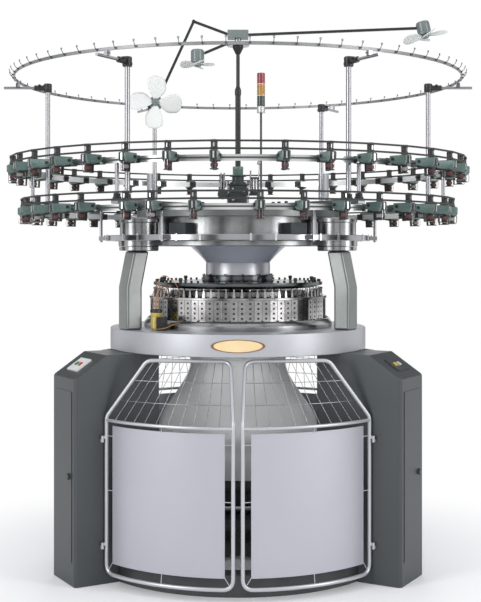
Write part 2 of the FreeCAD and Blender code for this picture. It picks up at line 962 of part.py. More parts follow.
def fan_post():
    """Mast for the fans, stepped to a thinner tube and flared under the fan head."""
    lower = rod(V(0, 0, platform_top_z), V(0, 0, fan_post_step_z), fan_post_r)
    upper = rod(V(0, 0, fan_post_step_z), V(0, 0, fan_cone_bottom_z), fan_post_top_r)
    angles = even_angles(8)
    narrow = flat_polygon(fan_post_top_r, angles, fan_cone_bottom_z)
    wide = flat_polygon(fan_cone_r, angles, fan_disc_z - seat_gap)
    flare = banded_solid((narrow, wide))
    pin = spindle(V(0, 0, fan_cone_bottom_z + 10), V(0, 0, fan_spindle_top_z), fan_spindle_r)
    return fused([lower, upper, flare, pin])


def fan_head():
    """Turning head: the disc on the mast, its stem and the gear motor's box."""
    half = fan_box_length / 2
    width = fan_box_width / 2
    plate = rod(V(0, 0, fan_disc_z), V(0, 0, fan_disc_z + fan_disc_height), fan_disc_r, 10)
    stem = rod(V(0, 0, fan_disc_z + fan_disc_height), V(0, 0, fan_box_z), fan_stem_r, 5)
    box = block(-half, half, -width, width, fan_box_z, fan_box_z + fan_box_height)
    head = fused([plate, stem, box])
    bore = disc(fan_spindle_r + running_gap, fan_disc_z, fan_spindle_top_z + 1, 8)
    return head.cut(bore)


def tilted_motor(centre, axis):
    """A fan motor with its shaft; the shaft points along the axis."""
    start = centre - axis * (fan_motor_length / 2)
    end = centre + axis * (fan_motor_length / 2)
    body = rod(start, end, fan_motor_r, 6)
    shaft = spindle(end - axis * 2, end + axis * fan_shaft_length, fan_shaft_r, 5)
    return fused([body, shaft])


def propeller(centre, axis, radius):
    """Hub with broad pitched blades, running on the motor's shaft."""
    face = centre + axis * (fan_motor_length / 2 + seat_gap)
    hub = rod(V(0, 0, 0), V(0, 0, fan_hub_length), fan_hub_r, fan_blades)
    blades = []
    for i in range(fan_blades):
        blade = prism_from([
            V(fan_hub_r - 4, -9, 0),
            V(radius * 0.45, -0.30 * radius, 0),
            V(radius * 0.94, -0.22 * radius, 0),
            V(radius * 0.97, 0.12 * radius, 0),
            V(fan_hub_r - 4, 9, 0),
        ], V(0, 0, 2.5))
        blade.translate(V(0, 0, fan_hub_length / 2 - 1.25))
        blade.rotate(V(0, 0, fan_hub_length / 2), V(1, 0, 0), 22)
        blade.rotate(V(0, 0, 0), V(0, 0, 1), 360.0 * i / fan_blades)
        blades.append(blade)
    whole = fused([hub] + blades)
    whole = whole.cut(rod(V(0, 0, 0), V(0, 0, fan_hub_length), fan_shaft_r + running_gap, 5))
    whole.Placement = FreeCAD.Placement(face, FreeCAD.Rotation(V(0, 0, 1), axis))
    return whole


long_axis = V(0, -1, 0)
short_axis = V(0, 0, -1)
right_axis = V(0, 0, -1)
right_axis = FreeCAD.Rotation(V(0, 1, 0), -right_fan_tilt_angle).multVec(right_axis)


def fan_arms():
    """Square bars from the turning head to the three motors."""
    side = fan_arm_side / 2
    half = fan_box_length / 2
    start = V(-half, 0, fan_box_middle_z + fan_arm_lift)
    long_arm = fused([
        rod(start, long_elbow, side, 4),
        rod(long_elbow, long_motor, side, 4),
    ])
    corner = rod(long_elbow - V(0, side, 0), long_elbow + V(0, side, 0), side * 1.4, 6)
    long_arm = fused([long_arm, corner]).cut(tilted_motor(long_motor, long_axis))
    short_arm = rod(V(-fan_disc_r + 6, 0, fan_disc_z + fan_disc_height + side), short_motor, side, 4)
    short_arm = short_arm.cut(tilted_motor(short_motor, short_axis)).cut(fan_head())
    right_arm = rod(V(half, 0, fan_box_middle_z), right_motor, side, 4)
    right_arm = right_arm.cut(tilted_motor(right_motor, right_axis))
    return long_arm.cut(fan_head()), short_arm, right_arm.cut(fan_head())


# ---------------------------------------------------------------- lamp and oiler

def lamp_piece(index):
    z = lamp_base_z + sum(lamp_levels[:index])
    foot = V(lamp_x, 0, z)
    return rod(foot, foot + V(0, 0, lamp_levels[index]), lamp_r, 6)


def lamp_post():
    return rod(V(lamp_x, 0, platform_top_z), V(lamp_x, 0, lamp_base_z), lamp_post_r, 4)


def oiler_cup():
    foot = polar(oiler_circle_r, oiler_angle, table_top_z)
    return rod(foot, foot + V(0, 0, oiler_height), oiler_r, 8)


def oiler_cap():
    foot = polar(oiler_circle_r, oiler_angle, table_top_z + oiler_height)
    return rod(foot, foot + V(0, 0, oiler_cap_height), oiler_r + 3, 8)


def oil_pipe():
    """Stiff pipe from the oiler's cap over to the guide ring."""
    top = table_top_z + oiler_height + oiler_cap_height
    points = [
        polar(oiler_circle_r, oiler_angle, top),
        polar(oiler_circle_r, oiler_angle, top + 60),
        polar(oiler_circle_r - 65, oiler_angle, top + 112),
        polar(guide_ring_outer_r - 14, oiler_angle, guide_ring_top_z + 30),
        polar(guide_ring_outer_r - 14, oiler_angle, guide_ring_top_z),
    ]
    return fused(rod(a, b, pipe_r, 4) for a, b in zip(points, points[1:]))


def sensor_box():
    r = oiler_circle_r + 10
    half = sensor_side / 2
    return radial_block(sensor_side, r - half, r + half, table_top_z, table_top_z + sensor_height,
                        sensor_angle)


# ---------------------------------------------------------------- take-down

def takedown_frame():
    """Two bent side plates under the gear ring, joined by the beam over the pivot."""
    x = side_plate_x
    wall = side_plate_wall
    neck = side_plate_neck_x
    bottom = pivot_boss_height + seat_gap
    half = side_plate_width / 2
    corner = 0.75 * wall
    outline = (
        (neck, gear_ring_bottom_z),
        (neck, side_plate_shoulder_z + side_plate_slope_rise),
        (x, side_plate_shoulder_z),
        (x, bottom),
        (x + wall, bottom),
        (x + wall, side_plate_shoulder_z + corner),
        (neck + wall, side_plate_shoulder_z + side_plate_slope_rise + corner),
        (neck + wall, gear_ring_bottom_z),
    )
    plate = prism_from([V(px, -half, pz) for px, pz in outline], V(0, side_plate_width, 0))
    beam = block(-x, x, -crossbeam_width / 2, crossbeam_width / 2, bottom, bottom + crossbeam_height)
    pivot = spindle(V(0, 0, pivot_boss_height - pivot_depth + seat_gap), V(0, 0, bottom + 1), pivot_r)
    other = plate.mirror(V(0, 0, 0), V(1, 0, 0))
    frame = fused([plate, other, beam, pivot])
    for y, z in journal_places():
        reach = V(x + wall + 1, y, z)
        frame = frame.cut(rod(V(-reach.x, y, z), reach, journal_r + running_gap, 5))
    return frame


def journal_places():
    offset = roller_r + nip_gap / 2
    return ((-offset, roller_z), (offset, roller_z), (0, winding_bar_z))


def roller(index, radius):
    """Roller with journals that run in the side plates."""
    y, z = journal_places()[index]
    face = side_plate_x - 2 * seat_gap
    tip = side_plate_x + side_plate_wall
    body = spindle(V(-face, y, z), V(face, y, z), radius, 8)
    return fused([body, spindle(V(-tip, y, z), V(tip, y, z), journal_r, 5)])


def fabric_tube():
    """Knitted tube: drawn in under the cylinder, spread flat and led into the nip."""
    cylinder_bore_r = cylinder_r - cylinder_wall - seat_gap
    gear_bore_r = gear_ring_r - gear_ring_wall
    levels = (
        (cam_top_z - 6, cylinder_bore_r, cylinder_bore_r),
        (cylinder_bottom_z + 60, cylinder_bore_r, cylinder_bore_r),
        (gear_ring_bottom_z, gear_bore_r - 24, gear_bore_r - 24),
        (1090.0, 262.0, 256.0),
        (690.0, fabric_half_width, 128.0),
        (540.0, fabric_half_width, 58.0),
        (roller_z + 52, fabric_half_width, 9.0),
        (roller_z + 14, fabric_half_width, fabric_nip_half),
        (roller_z - 14, fabric_half_width, fabric_nip_half),
    )
    rows = []
    for z, half_x, half_y in levels:
        row = []
        for i in range(fabric_side_count):
            a = 2 * math.pi * (i + 0.5) / fabric_side_count
            row.append(V(half_x * math.cos(a), half_y * math.sin(a), z))
        rows.append(row)
    return banded_triangles(rows, False)


# ---------------------------------------------------------------- doors

def door_angles(inner, outer):
    return [inner + (outer - inner) * i / door_flat_count for i in range(door_flat_count + 1)]


def curved_strip(r0, r1, inner, outer, z0, z1):
    """A strip bent in flats between two angles."""
    near = [polar(r0, a, z0) for a in door_angles(inner, outer)]
    far = [polar(r1, a, z0) for a in door_angles(inner, outer)]
    return prism_from(near + far[::-1], V(0, 0, z1 - z0))


def hinge_point(z):
    """Hinge line of the right-hand door, outboard of its outer tube."""
    tube = polar(door_r, door_outer_angle, z)
    return tube + polar(hinge_offset, leg_angles[0], 0)


def hinge_lug(z0, z1, sideways, inward):
    """A lug round the hinge line that reaches sideways to the leg, or inward to the tube."""
    half = hinge_lug_side / 2
    lug = block(-half, max(half, sideways), -half, max(half, inward), z0, z1)
    lug.rotate(V(0, 0, 0), V(0, 0, 1), leg_angles[0])
    lug.translate(hinge_point(0))
    return lug


def mitred(row, point, along, other):
    """Carries the corners of a section along its run, to the plane that halves the bend."""
    halving = (along + other).normalize()
    return [corner + along * ((point - corner).dot(halving) / along.dot(halving)) for corner in row]


def door_corners():
    """The bends of the door's tube, round from the foot of its inner upright."""
    angles = door_angles(door_inner_angle, door_outer_angle)
    foot = [polar(door_r, a, door_bottom_z) for a in angles]
    return foot + [
        polar(door_r, door_outer_angle, door_bend_z),
        polar(door_r - door_lean_outer, door_top_outer_angle, door_top_z),
        polar(door_r - door_lean_inner, door_top_inner_angle, door_top_z),
        polar(door_r, door_inner_angle, door_bend_z),
    ]


def bent_tube(path, half):
    """A square tube bent round a closed path, mitred at every bend."""
    count = len(path)
    runs = [(path[(i + 1) % count] - path[i]).normalize() for i in range(count)]
    side = runs[0].cross(V(0, 0, 1)) * half
    up = V(0, 0, half)
    section = [path[0] + side + up, path[0] + side - up, path[0] - side - up, path[0] - side + up]
    rows = [None] * count
    rows[0] = mitred(section, path[0], runs[0], runs[-1])
    top = count - 3
    for i in range(1, top + 1):
        rows[i] = mitred(rows[i - 1], path[i], runs[i - 1], runs[i])
    for i in range(count - 1, top, -1):
        rows[i] = mitred(rows[(i + 1) % count], path[i], runs[i], runs[i - 1])
    return banded_triangles(rows + rows[:1], True)


def door_frame():
    """Bent tube round the door, with its hinge lugs."""
    pieces = [bent_tube(door_corners(), door_tube / 2)]
    for z in hinge_heights:
        pieces.append(hinge_lug(z + seat_gap, z + hinge_lug_height, 0, hinge_offset))
    frame = fused(pieces)
    for z in hinge_heights:
        top = hinge_point(z + hinge_lug_height)
        frame = frame.cut(rod(hinge_point(z), top, hinge_pin_r + running_gap, hinge_pin_side_count))
    return frame


def bent_wire(path, reach):
    """A three-sided wire along an open path, mitred at its bends."""
    runs = [(b - a).normalize() for a, b in zip(path, path[1:])]
    up = V(0, 0, 1)
    side = runs[0].cross(up)
    row = []
    for i in range(3):
        a = 2 * math.pi * i / 3
        row.append(path[0] + side * (reach * math.cos(a)) + up * (reach * math.sin(a)))
    rows = [row]
    for i in range(1, len(path)):
        following = runs[i] if i < len(runs) else runs[-1]
        rows.append(mitred(rows[-1], path[i], runs[i - 1], following))
    return banded_triangles(rows, False)


def door_rail():
    """The rail across the door, between the inner faces of its uprights."""
    half = door_tube / 2
    bottom = door_rail_z - half
    path = [polar(door_r, a, bottom) for a in door_angles(door_inner_angle, door_outer_angle)]
    path[0] = path[0] + (path[1] - path[0]).normalize() * half
    path[-1] = path[-1] + (path[-2] - path[-1]).normalize() * half
    runs = [(b - a).normalize() for a, b in zip(path, path[1:])]
    rows = []
    for side in (-1, 1):
        row = [path[0] + V(-runs[0].y, runs[0].x, 0) * (side * half)]
        for i in range(1, len(path)):
            following = runs[i] if i < len(runs) else runs[-1]
            row.append(mitred(row[-1:], path[i], runs[i - 1], following)[0])
        rows.append(row)
    return prism_from(rows[0] + rows[1][::-1], V(0, 0, door_tube))


def guard_wires():
    """Wires of the slanted guard, between the upper rail and the top tube."""
    half = door_tube / 2
    low = [polar(door_r, a, door_rail_z) for a in door_angles(door_inner_angle, door_outer_angle)]
    top_outer, top_inner = door_corners()[-3:-1]
    across = top_outer - top_inner

    def on_guard(share, height):
        place = share * door_flat_count
        index = min(int(place), door_flat_count - 1)
        foot = low[index] + (low[index + 1] - low[index]) * (place - index)
        return foot + (top_inner + across * share - foot) * height

    wires = []
    for i in range(guard_uprights):
        share = (i + 1.0) / (guard_uprights + 1)
        foot = on_guard(share, 0)
        head = on_guard(share, 1)
        along = (head - foot).normalize()
        start = foot + along * (half + 4)
        end = head - along * (half + 3)
        wires.append(regular_bar(start, end, guard_wire / 2, 3, 0.0))
    outward = V(0, -guard_wire - 1.2, 0)
    for i in range(guard_crosses):
        height = (i + 1.0) / (guard_crosses + 1)
        shares = [step / float(door_flat_count) for step in range(door_flat_count + 1)]
        bends = [on_guard(share, height) + outward for share in shares]
        bends[0] = bends[0] + (bends[1] - bends[0]).normalize() * (half + 2)
        bends[-1] = bends[-1] + (bends[-2] - bends[-1]).normalize() * (half + 2)
        wires.append(bent_wire(bends, guard_wire / 2))
    return wires


def door_strap(tube_angle, side, panel_angle, z):
    """A tapered strap from the side of an upright to the edge of the panel."""
    turn = (door_outer_angle - door_inner_angle) / door_flat_count / 2
    a = math.radians(tube_angle + side * turn)
    sideways = V(math.cos(a), math.sin(a), 0)
    outward = V(math.sin(a), -math.cos(a), 0)
    foot = polar(door_r, tube_angle, z) + sideways * (side * door_tube / 2)
    near = [foot - outward * door_panel_set_in, foot - outward * (door_panel_set_in - door_panel_wall)]
    far = polar(door_panel_r + door_panel_wall / 2, panel_angle, z)
    return prism_from(near + [far], V(0, 0, door_strap_height))


def door():
    """Right-hand door of the front pair: tube frame with its sheet panel on straps."""
    inner = door_inner_angle
    outer = door_outer_angle
    pieces = [door_frame(), door_rail()] + guard_wires()
    pieces.append(curved_strip(door_panel_r, door_panel_r + door_panel_wall, door_panel_inner_angle,
                               door_panel_outer_angle, door_panel_bottom_z, door_panel_top_z))
    for z in door_strap_heights:
        pieces.append(door_strap(inner, 1, door_panel_inner_angle, z))
        pieces.append(door_strap(outer, -1, door_panel_outer_angle, z))
    return Part.makeCompound(pieces)


def door_hinges():
    """Fixed lugs on the legs, each with the pin that the door's lug turns on."""
    face = cabinet_width / 2
    point = hinge_point(0)
    sideways = V(math.cos(math.radians(leg_angles[0])), math.sin(math.radians(leg_angles[0])), 0)
    to_axis = point.dot(sideways)
    reach = -face - to_axis
    pieces = []
    for z in hinge_heights:
        pieces.append(hinge_lug(z - hinge_lug_height, z, reach, 0))
        top = hinge_point(z + hinge_lug_height)
        pieces.append(spindle(hinge_point(z), top, hinge_pin_r, hinge_pin_side_count))
    return pieces


def mirrored(shape):
    return shape.mirror(V(0, 0, 0), V(1, 0, 0))


# ---------------------------------------------------------------- all pieces

os.makedirs("parts", exist_ok=True)

save("base_frame", base_frame())
save("cabinet_left", cabinet(-60.0))
save("cabinet_right", cabinet(60.0))
save("rear_leg", rear_leg())
save("cabinet_covers", [cabinet_cover(-60.0), cover_lock(-60.0), cabinet_cover(60.0), cover_lock(60.0)])
save("control_panels", [control_panel(-60.0), control_panel(60.0)])
save("start_button", push_button(-1, -60.0))
save("stop_button", push_button(1, -60.0))
save("inch_button", push_button(-1, 60.0))
save("reset_button", push_button(1, 60.0))

save("machine_table", machine_table())
save("nameplate", nameplate())
save("cylinder_bed", cylinder_bed())
save("cam_boxes", cam_boxes())
save("guide_ring", guide_ring())
save("yarn_guides", yarn_guides())
save("gear_ring", gear_ring())
save("needle_cylinder", needle_cylinder())
save("needle_dial", needle_dial())
save("dial_cam_plate", dial_cam_plate())
save("dial_knobs", dial_knobs())
save("hub_ring", hub_ring())
save("dial_hub", dial_hub())

save("platform", platform())
save("top_plate", top_plate())
save("columns", columns())
save("rail_ring", rail_ring())
save("rail_rods", rail_rods())

save("ring_arms", ring_arms())
save("ring_posts", creel_posts() + ring_posts())
save("feeder_bars", [
    feeder_bar(lower_bar_r, lower_bar_z, lower_angles),
    feeder_bar(upper_bar_r, upper_bar_z, upper_angles),
])
save("yarn_feeders", yarn_feeders(lower_bar_r, lower_bar_z, lower_angles)
     + yarn_feeders(upper_bar_r, upper_bar_z, upper_angles))
save("feeder_pulleys", feeder_pulleys(lower_bar_r, lower_bar_z, lower_angles)
     + feeder_pulleys(upper_bar_r, upper_bar_z, upper_angles))
save("feeder_belts", feeder_belts(lower_bar_r, lower_bar_z, lower_angles)
     + feeder_belts(upper_bar_r, upper_bar_z, upper_angles))

save("creel_tees", creel_tees())
save("creel_rods", creel_rods() + creel_clamps())
save("creel_ring", creel_ring())

save("gear_cases", [drive_case()] + gear_cases())
save("drive_motor", drive_motor())
save("drive_wheels", drive_wheels())

long_arm, short_arm, right_arm = fan_arms()
save("fan_post", fan_post())
save("fan_arms", [long_arm, short_arm, right_arm])
save("fan_motors", [
    fan_head(),
    tilted_motor(long_motor, long_axis),
    tilted_motor(short_motor, short_axis),
    tilted_motor(right_motor, right_axis),
])
save("long_fan", propeller(long_motor, long_axis, long_fan_r))
save("short_fan", propeller(short_motor, short_axis, short_fan_r))
save("right_fan", propeller(right_motor, right_axis, right_fan_r))

save("signal_lamp", [lamp_post()] + [lamp_piece(i) for i in range(4)])
save("oiler", [oiler_cup(), oiler_cap(), oil_pipe(), sensor_box()])

save("takedown_frame", takedown_frame())
save("front_roller", roller(0, roller_r))
save("rear_roller", roller(1, roller_r))
save("winding_bar", roller(2, winding_bar_r))
save("fabric_tube", fabric_tube())

front = door()
names = (("front_door_right", "front_door_left"), ("rear_door_1", "rear_door_2"),
         ("rear_door_3", "rear_door_4"))
for pair, pair_angle in zip(names, pair_angles):
    save(pair[0], turned(front, pair_angle))
    save(pair[1], turned(mirrored(front), pair_angle))
hinges = []
for pair_angle in pair_angles:
    for lug in door_hinges():
        hinges.append(turned(lug, pair_angle))
        hinges.append(turned(mirrored(lug), pair_angle))
save("door_hinges", hinges)
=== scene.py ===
import json
import math
import bpy
import bmesh
from mathutils import Matrix, Vector

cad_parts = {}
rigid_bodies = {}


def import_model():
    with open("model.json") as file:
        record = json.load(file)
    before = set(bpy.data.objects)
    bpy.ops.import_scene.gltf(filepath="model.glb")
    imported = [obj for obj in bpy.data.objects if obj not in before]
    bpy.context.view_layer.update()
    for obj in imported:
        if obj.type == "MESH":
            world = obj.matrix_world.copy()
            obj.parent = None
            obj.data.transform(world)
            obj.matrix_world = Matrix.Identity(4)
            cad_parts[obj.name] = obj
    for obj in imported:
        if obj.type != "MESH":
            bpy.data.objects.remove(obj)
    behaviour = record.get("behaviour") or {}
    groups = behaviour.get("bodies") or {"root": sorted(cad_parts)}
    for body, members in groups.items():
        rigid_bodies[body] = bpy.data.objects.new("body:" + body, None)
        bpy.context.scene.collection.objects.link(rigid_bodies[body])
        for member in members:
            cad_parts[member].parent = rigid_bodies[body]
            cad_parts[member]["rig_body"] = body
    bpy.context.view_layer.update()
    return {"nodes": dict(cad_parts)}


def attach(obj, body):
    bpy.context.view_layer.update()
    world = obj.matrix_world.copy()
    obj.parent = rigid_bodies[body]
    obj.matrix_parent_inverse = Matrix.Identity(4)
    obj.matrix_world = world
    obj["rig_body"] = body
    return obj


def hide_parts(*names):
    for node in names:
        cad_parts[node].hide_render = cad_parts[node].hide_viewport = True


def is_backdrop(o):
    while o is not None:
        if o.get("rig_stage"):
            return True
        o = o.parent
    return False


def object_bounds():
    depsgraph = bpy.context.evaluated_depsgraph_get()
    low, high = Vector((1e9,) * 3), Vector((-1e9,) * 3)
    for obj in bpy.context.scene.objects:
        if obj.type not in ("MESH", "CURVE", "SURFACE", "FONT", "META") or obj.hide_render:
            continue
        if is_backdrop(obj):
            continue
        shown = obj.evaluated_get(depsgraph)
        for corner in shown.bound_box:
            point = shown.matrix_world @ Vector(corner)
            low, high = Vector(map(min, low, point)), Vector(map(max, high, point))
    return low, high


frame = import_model()

# ---------------- studio
# A pale floor, a white surround, four broad soft lamps, and dark cards that show only in
# reflections. The camera stands level at eye height, where the photograph was taken from.


def deg(value):
    return math.radians(value)


def polar(radius, angle, z=0.0):
    """A place on the machine: angles run from the front to the right."""
    a = deg(angle)
    return Vector((radius * math.sin(a), -radius * math.cos(a), z))


def stood(name, data):
    """Stands a mesh, lamp or camera in the scene."""
    thing = bpy.data.objects.new(name, data)
    scene.collection.objects.link(thing)
    return thing


def added(tree, kind, given=(), **settings):
    """A new node, each given input set to a value or joined to another node's output."""
    node = tree.nodes.new(kind)
    for name, value in settings.items():
        setattr(node, name, value)
    for socket, value in dict(given).items():
        if isinstance(value, bpy.types.NodeSocket):
            tree.links.new(value, node.inputs[socket])
        else:
            node.inputs[socket].default_value = value
    return node


def sight(tree, *kinds):
    """An output that is 1 on these kinds of ray and 0 on the others."""
    path = added(tree, "ShaderNodeLightPath").outputs
    seen = path[kinds[0]]
    for kind in kinds[1:]:
        seen = added(tree, "ShaderNodeMath", {0: seen, 1: path[kind]}, operation="MAXIMUM").outputs[0]
    return seen


scene = bpy.context.scene
scene.view_settings.view_transform = "Standard"

photo_height, focal_pixels = 602, 1170.0
eye_height, eye_distance = 1.695, 6.5
eye = bpy.data.cameras.new("camera")
eye.sensor_fit = "AUTO"
eye.sensor_width = 36.0
eye.lens = focal_pixels / photo_height * eye.sensor_width
eye.shift_x = 0.0042
eye.shift_y = -0.0847
eye.clip_end = 100.0
camera = stood("camera", eye)
camera.location = (0.0, -eye_distance, eye_height)
camera.rotation_euler = (deg(90), 0.0, 0.0)
scene.camera = camera

world = bpy.data.worlds.new("surround")
scene.world = world
world.use_nodes = True
sky = world.node_tree
sky.nodes.clear()
soft = added(sky, "ShaderNodeBackground", {"Color": (0.93, 0.95, 1.0, 1.0), "Strength": 0.68})
white = added(sky, "ShaderNodeBackground", {"Color": (1.0, 1.0, 1.0, 1.0), "Strength": 1.0})
seen = sight(sky, "Is Camera Ray", "Is Glossy Ray", "Is Transmission Ray")
either = added(sky, "ShaderNodeMixShader", {0: seen, 1: soft.outputs[0], 2: white.outputs[0]})
added(sky, "ShaderNodeOutputWorld", {"Surface": either.outputs[0]})

for name, place, aim, wide, high, power, glints in (
    ("lamp_left", (-5.5, -5.0, 4.2), (0, 0, 1.3), 2.6, 6.0, 230, True),
    ("lamp_right", (5.8, -3.6, 3.6), (0, 0, 1.3), 2.0, 6.0, 175, True),
    ("lamp_front", (0.6, -8.0, 2.0), (0, 0, 1.1), 2.6, 1.6, 135, False),
    ("lamp_back", (0.5, 6.5, 5.2), (0, 0, 1.6), 4.0, 2.0, 140, False),
):
    light = bpy.data.lights.new(name, "AREA")
    light.shape = "RECTANGLE"
    light.size = wide
    light.size_y = high
    light.energy = power
    lamp = stood(name, light)
    lamp.location = place
    lamp.rotation_euler = (Vector(aim) - Vector(place)).to_track_quat("-Z", "Y").to_euler()
    lamp.visible_glossy = glints

floor_mesh = bpy.data.meshes.new("floor")
floor_mesh.from_pydata([(-30, -30, 0), (30, -30, 0), (30, 30, 0), (-30, 30, 0)], [], [(0, 1, 2, 3)])
floor_paint = bpy.data.materials.new("white floor")
floor_paint.use_nodes = True
tree = floor_paint.node_tree
matt = tree.nodes["Principled BSDF"]
matt.inputs["Base Color"].default_value = (0.90, 0.90, 0.90, 1.0)
matt.inputs["Roughness"].default_value = 0.9
matt.inputs["Specular IOR Level"].default_value = 0.0
place = added(tree, "ShaderNodeTexCoord").outputs["Object"]
reach = added(tree, "ShaderNodeVectorMath", {0: place}, operation="LENGTH").outputs["Value"]
fade = added(tree, "ShaderNodeMapRange", {"Value": reach, "From Min": 0.9, "From Max": 2.2, "To Min": 0.04,
                                          "To Max": 1.0}, interpolation_type="SMOOTHSTEP")
seen = sight(tree, "Is Camera Ray", "Is Glossy Ray")
share = added(tree, "ShaderNodeMath", {0: seen, 1: fade.outputs["Result"]}, operation="MULTIPLY")
glow = added(tree, "ShaderNodeEmission", {"Strength": 1.0})
blend = added(tree, "ShaderNodeMixShader", {0: share.outputs[0], 1: matt.outputs[0], 2: glow.outputs[0]})
tree.links.new(blend.outputs[0], tree.nodes["Material Output"].inputs["Surface"])
floor_mesh.materials.append(floor_paint)
stood("floor", floor_mesh)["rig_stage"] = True

card_paint = bpy.data.materials.new("dark card")
card_paint.use_nodes = True
card_paint.node_tree.nodes["Principled BSDF"].inputs["Base Color"].default_value = (0.03, 0.03, 0.03, 1.0)
card_distance, card_height = 9.0, Vector((0.0, 0.0, 8.0))
cards = ((-21.0, 1.5), (16.0, 1.1), (-96.0, 4.0), (92.0, 4.0), (150.0, 3.0), (-150.0, 3.0))
for number, (angle, wide) in enumerate(cards):
    card_mesh = bpy.data.meshes.new("card")
    start, end = (polar(card_distance, angle) + polar(wide / 2, angle + turn) for turn in (-90.0, 90.0))
    card_mesh.from_pydata([start, end, end + card_height, start + card_height], [], [(0, 1, 2, 3)])
    card_mesh.materials.append(card_paint)
    card = stood("dark_card_%d" % number, card_mesh)
    card.visible_camera = card.visible_diffuse = card.visible_shadow = card.visible_transmission = False
    card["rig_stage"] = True

# ---------------- base frame
# Welded floor ring with three arms that meet at the boss of the take-down pivot.
# Dark machine paint over rolled steel section, scuffed a little along the floor.

# All pieces are drawn in this one shape, which is emptied as each becomes a mesh.
shape = bmesh.new()
vertex, face = shape.verts.new, shape.faces.new


def finish(name, colour, metallic=0.0, roughness=0.45, vary=0.06, scale=6.0, grain=0.0,
           grain_scale=300.0, stretch=(1.0, 1.0, 1.0), around=False, coat=0.0):
    """A finish with soft changes of tone, and a fine bump that may run round the axis."""
    material = bpy.data.materials.new(name)
    material.use_nodes = True
    tree = material.node_tree
    shader = tree.nodes["Principled BSDF"].inputs
    shader["Metallic"].default_value = metallic
    if coat:
        shader["Coat Weight"].default_value = coat
        shader["Coat Roughness"].default_value = 0.15
    place = added(tree, "ShaderNodeTexCoord").outputs["Object"]
    tone = added(tree, "ShaderNodeTexNoise", {"Vector": place, "Scale": scale, "Detail": 4.0})
    ramp = added(tree, "ShaderNodeValToRGB", {0: tone.outputs["Fac"]})
    for element, position, share in zip(ramp.color_ramp.elements, (0.3, 0.7), (1.0 - vary, 1.0 + vary)):
        element.position = position
        element.color = (*(min(1.0, c * share) for c in colour), 1.0)
    tree.links.new(ramp.outputs["Color"], shader["Base Color"])
    if around:
        split = added(tree, "ShaderNodeSeparateXYZ", {0: place}).outputs
        flat = added(tree, "ShaderNodeCombineXYZ", {"X": split["X"], "Y": split["Y"]}).outputs[0]
        reach = added(tree, "ShaderNodeVectorMath", {0: flat}, operation="LENGTH").outputs["Value"]
        place = added(tree, "ShaderNodeCombineXYZ", {"X": reach, "Z": split["Z"]}).outputs[0]
    where = added(tree, "ShaderNodeMapping", {0: place, "Scale": stretch}).outputs[0]
    noise = added(tree, "ShaderNodeTexNoise", {"Vector": where, "Scale": grain_scale, "Detail": 3.0})
    fine = noise.outputs["Fac"]
    spread = added(tree, "ShaderNodeMapRange", {"Value": fine, "To Min": max(0.02, roughness * 0.82),
                                                "To Max": min(1.0, roughness * 1.18)})
    tree.links.new(spread.outputs["Result"], shader["Roughness"])
    if grain:
        bump = added(tree, "ShaderNodeBump", {"Height": fine, "Strength": grain, "Distance": 0.0006})
        tree.links.new(bump.outputs["Normal"], shader["Normal"])
    return material


def circle(count):
    """Angles in equal steps round a circle, in radians."""
    return [2 * math.pi * k / count for k in range(count)]


def skin(rows, closed=False):
    """Faces from each row of points to the next, and from the last back to the first if closed."""
    for row, following in zip(rows, rows[1:] + rows[:1] if closed else rows[1:]):
        for k in range(len(row)):
            after = (k + 1) % len(row)
            face((row[k], row[after], following[after], following[k]))


def lathe(profile, steps=144, centre=(0.0, 0.0)):
    """Turns a profile of (radius, z) points about an upright axis."""
    x, y = centre[:2]
    rows = [[vertex((x + r * math.sin(a), y - r * math.cos(a), z)) for a in circle(steps)]
            for r, z in profile]
    skin(rows, closed=profile[0][0] > 0.0 or profile[-1][0] > 0.0)
    bmesh.ops.remove_doubles(shape, verts=[v for row in rows for v in row], dist=1e-6)


def prism(corners, along):
    """A solid with the given outline, carried along a vector."""
    near = [vertex(c) for c in corners]
    far = [vertex(Vector(c) + Vector(along)) for c in corners]
    face(near[::-1])
    face(far)
    skin([near, far])
    return near + far


def turned(verts, angle, axis="Z"):
    """Turns points about an axis through the origin."""
    bmesh.ops.rotate(shape, verts=verts, cent=(0, 0, 0), matrix=Matrix.Rotation(angle, 3, axis))


def brick(x0, x1, y0, y1, z0, z1, angle=0.0):
    """A square block, which may be turned round the machine's axis."""
    corners = prism([(x0, y0, z0), (x1, y0, z0), (x1, y1, z0), (x0, y1, z0)], (0, 0, z1 - z0))
    if angle:
        turned(corners, deg(angle))
    return corners


def shaded(name, smooth):
    """The shape under way as a mesh, smooth but for its sharp edges."""
    mesh = bpy.data.meshes.new(name)
    shape.to_mesh(mesh)
    shape.clear()
    for polygon in mesh.polygons:
        polygon.use_smooth = True
    mesh.set_sharp_from_angle(angle=deg(smooth))
    return mesh


def settled(name, mesh, stands_for, body, bevel=0.0, smooth=32.0, segments=2):
    """Stands a finished mesh in the scene, rounds its edges and lets it ride on its body."""
    piece = stood(name, mesh)
    if bevel:
        edge = piece.modifiers.new("edge", "BEVEL")
        edge.width = bevel
        edge.segments = segments
        edge.limit_method = "ANGLE"
        edge.angle_limit = deg(smooth)
        edge.harden_normals = True
    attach(piece, body)
    if stands_for:
        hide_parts(*stands_for)
    return piece


def made(name, material, stands_for=(), bevel=0.0, smooth=32.0, body="machine_frame"):
    """Turns the shape under way into a finished piece."""
    bmesh.ops.recalc_face_normals(shape, faces=shape.faces)
    mesh = shaded(name, smooth)
    mesh.materials.append(material)
    return settled(name, mesh, stands_for, body, bevel, smooth)


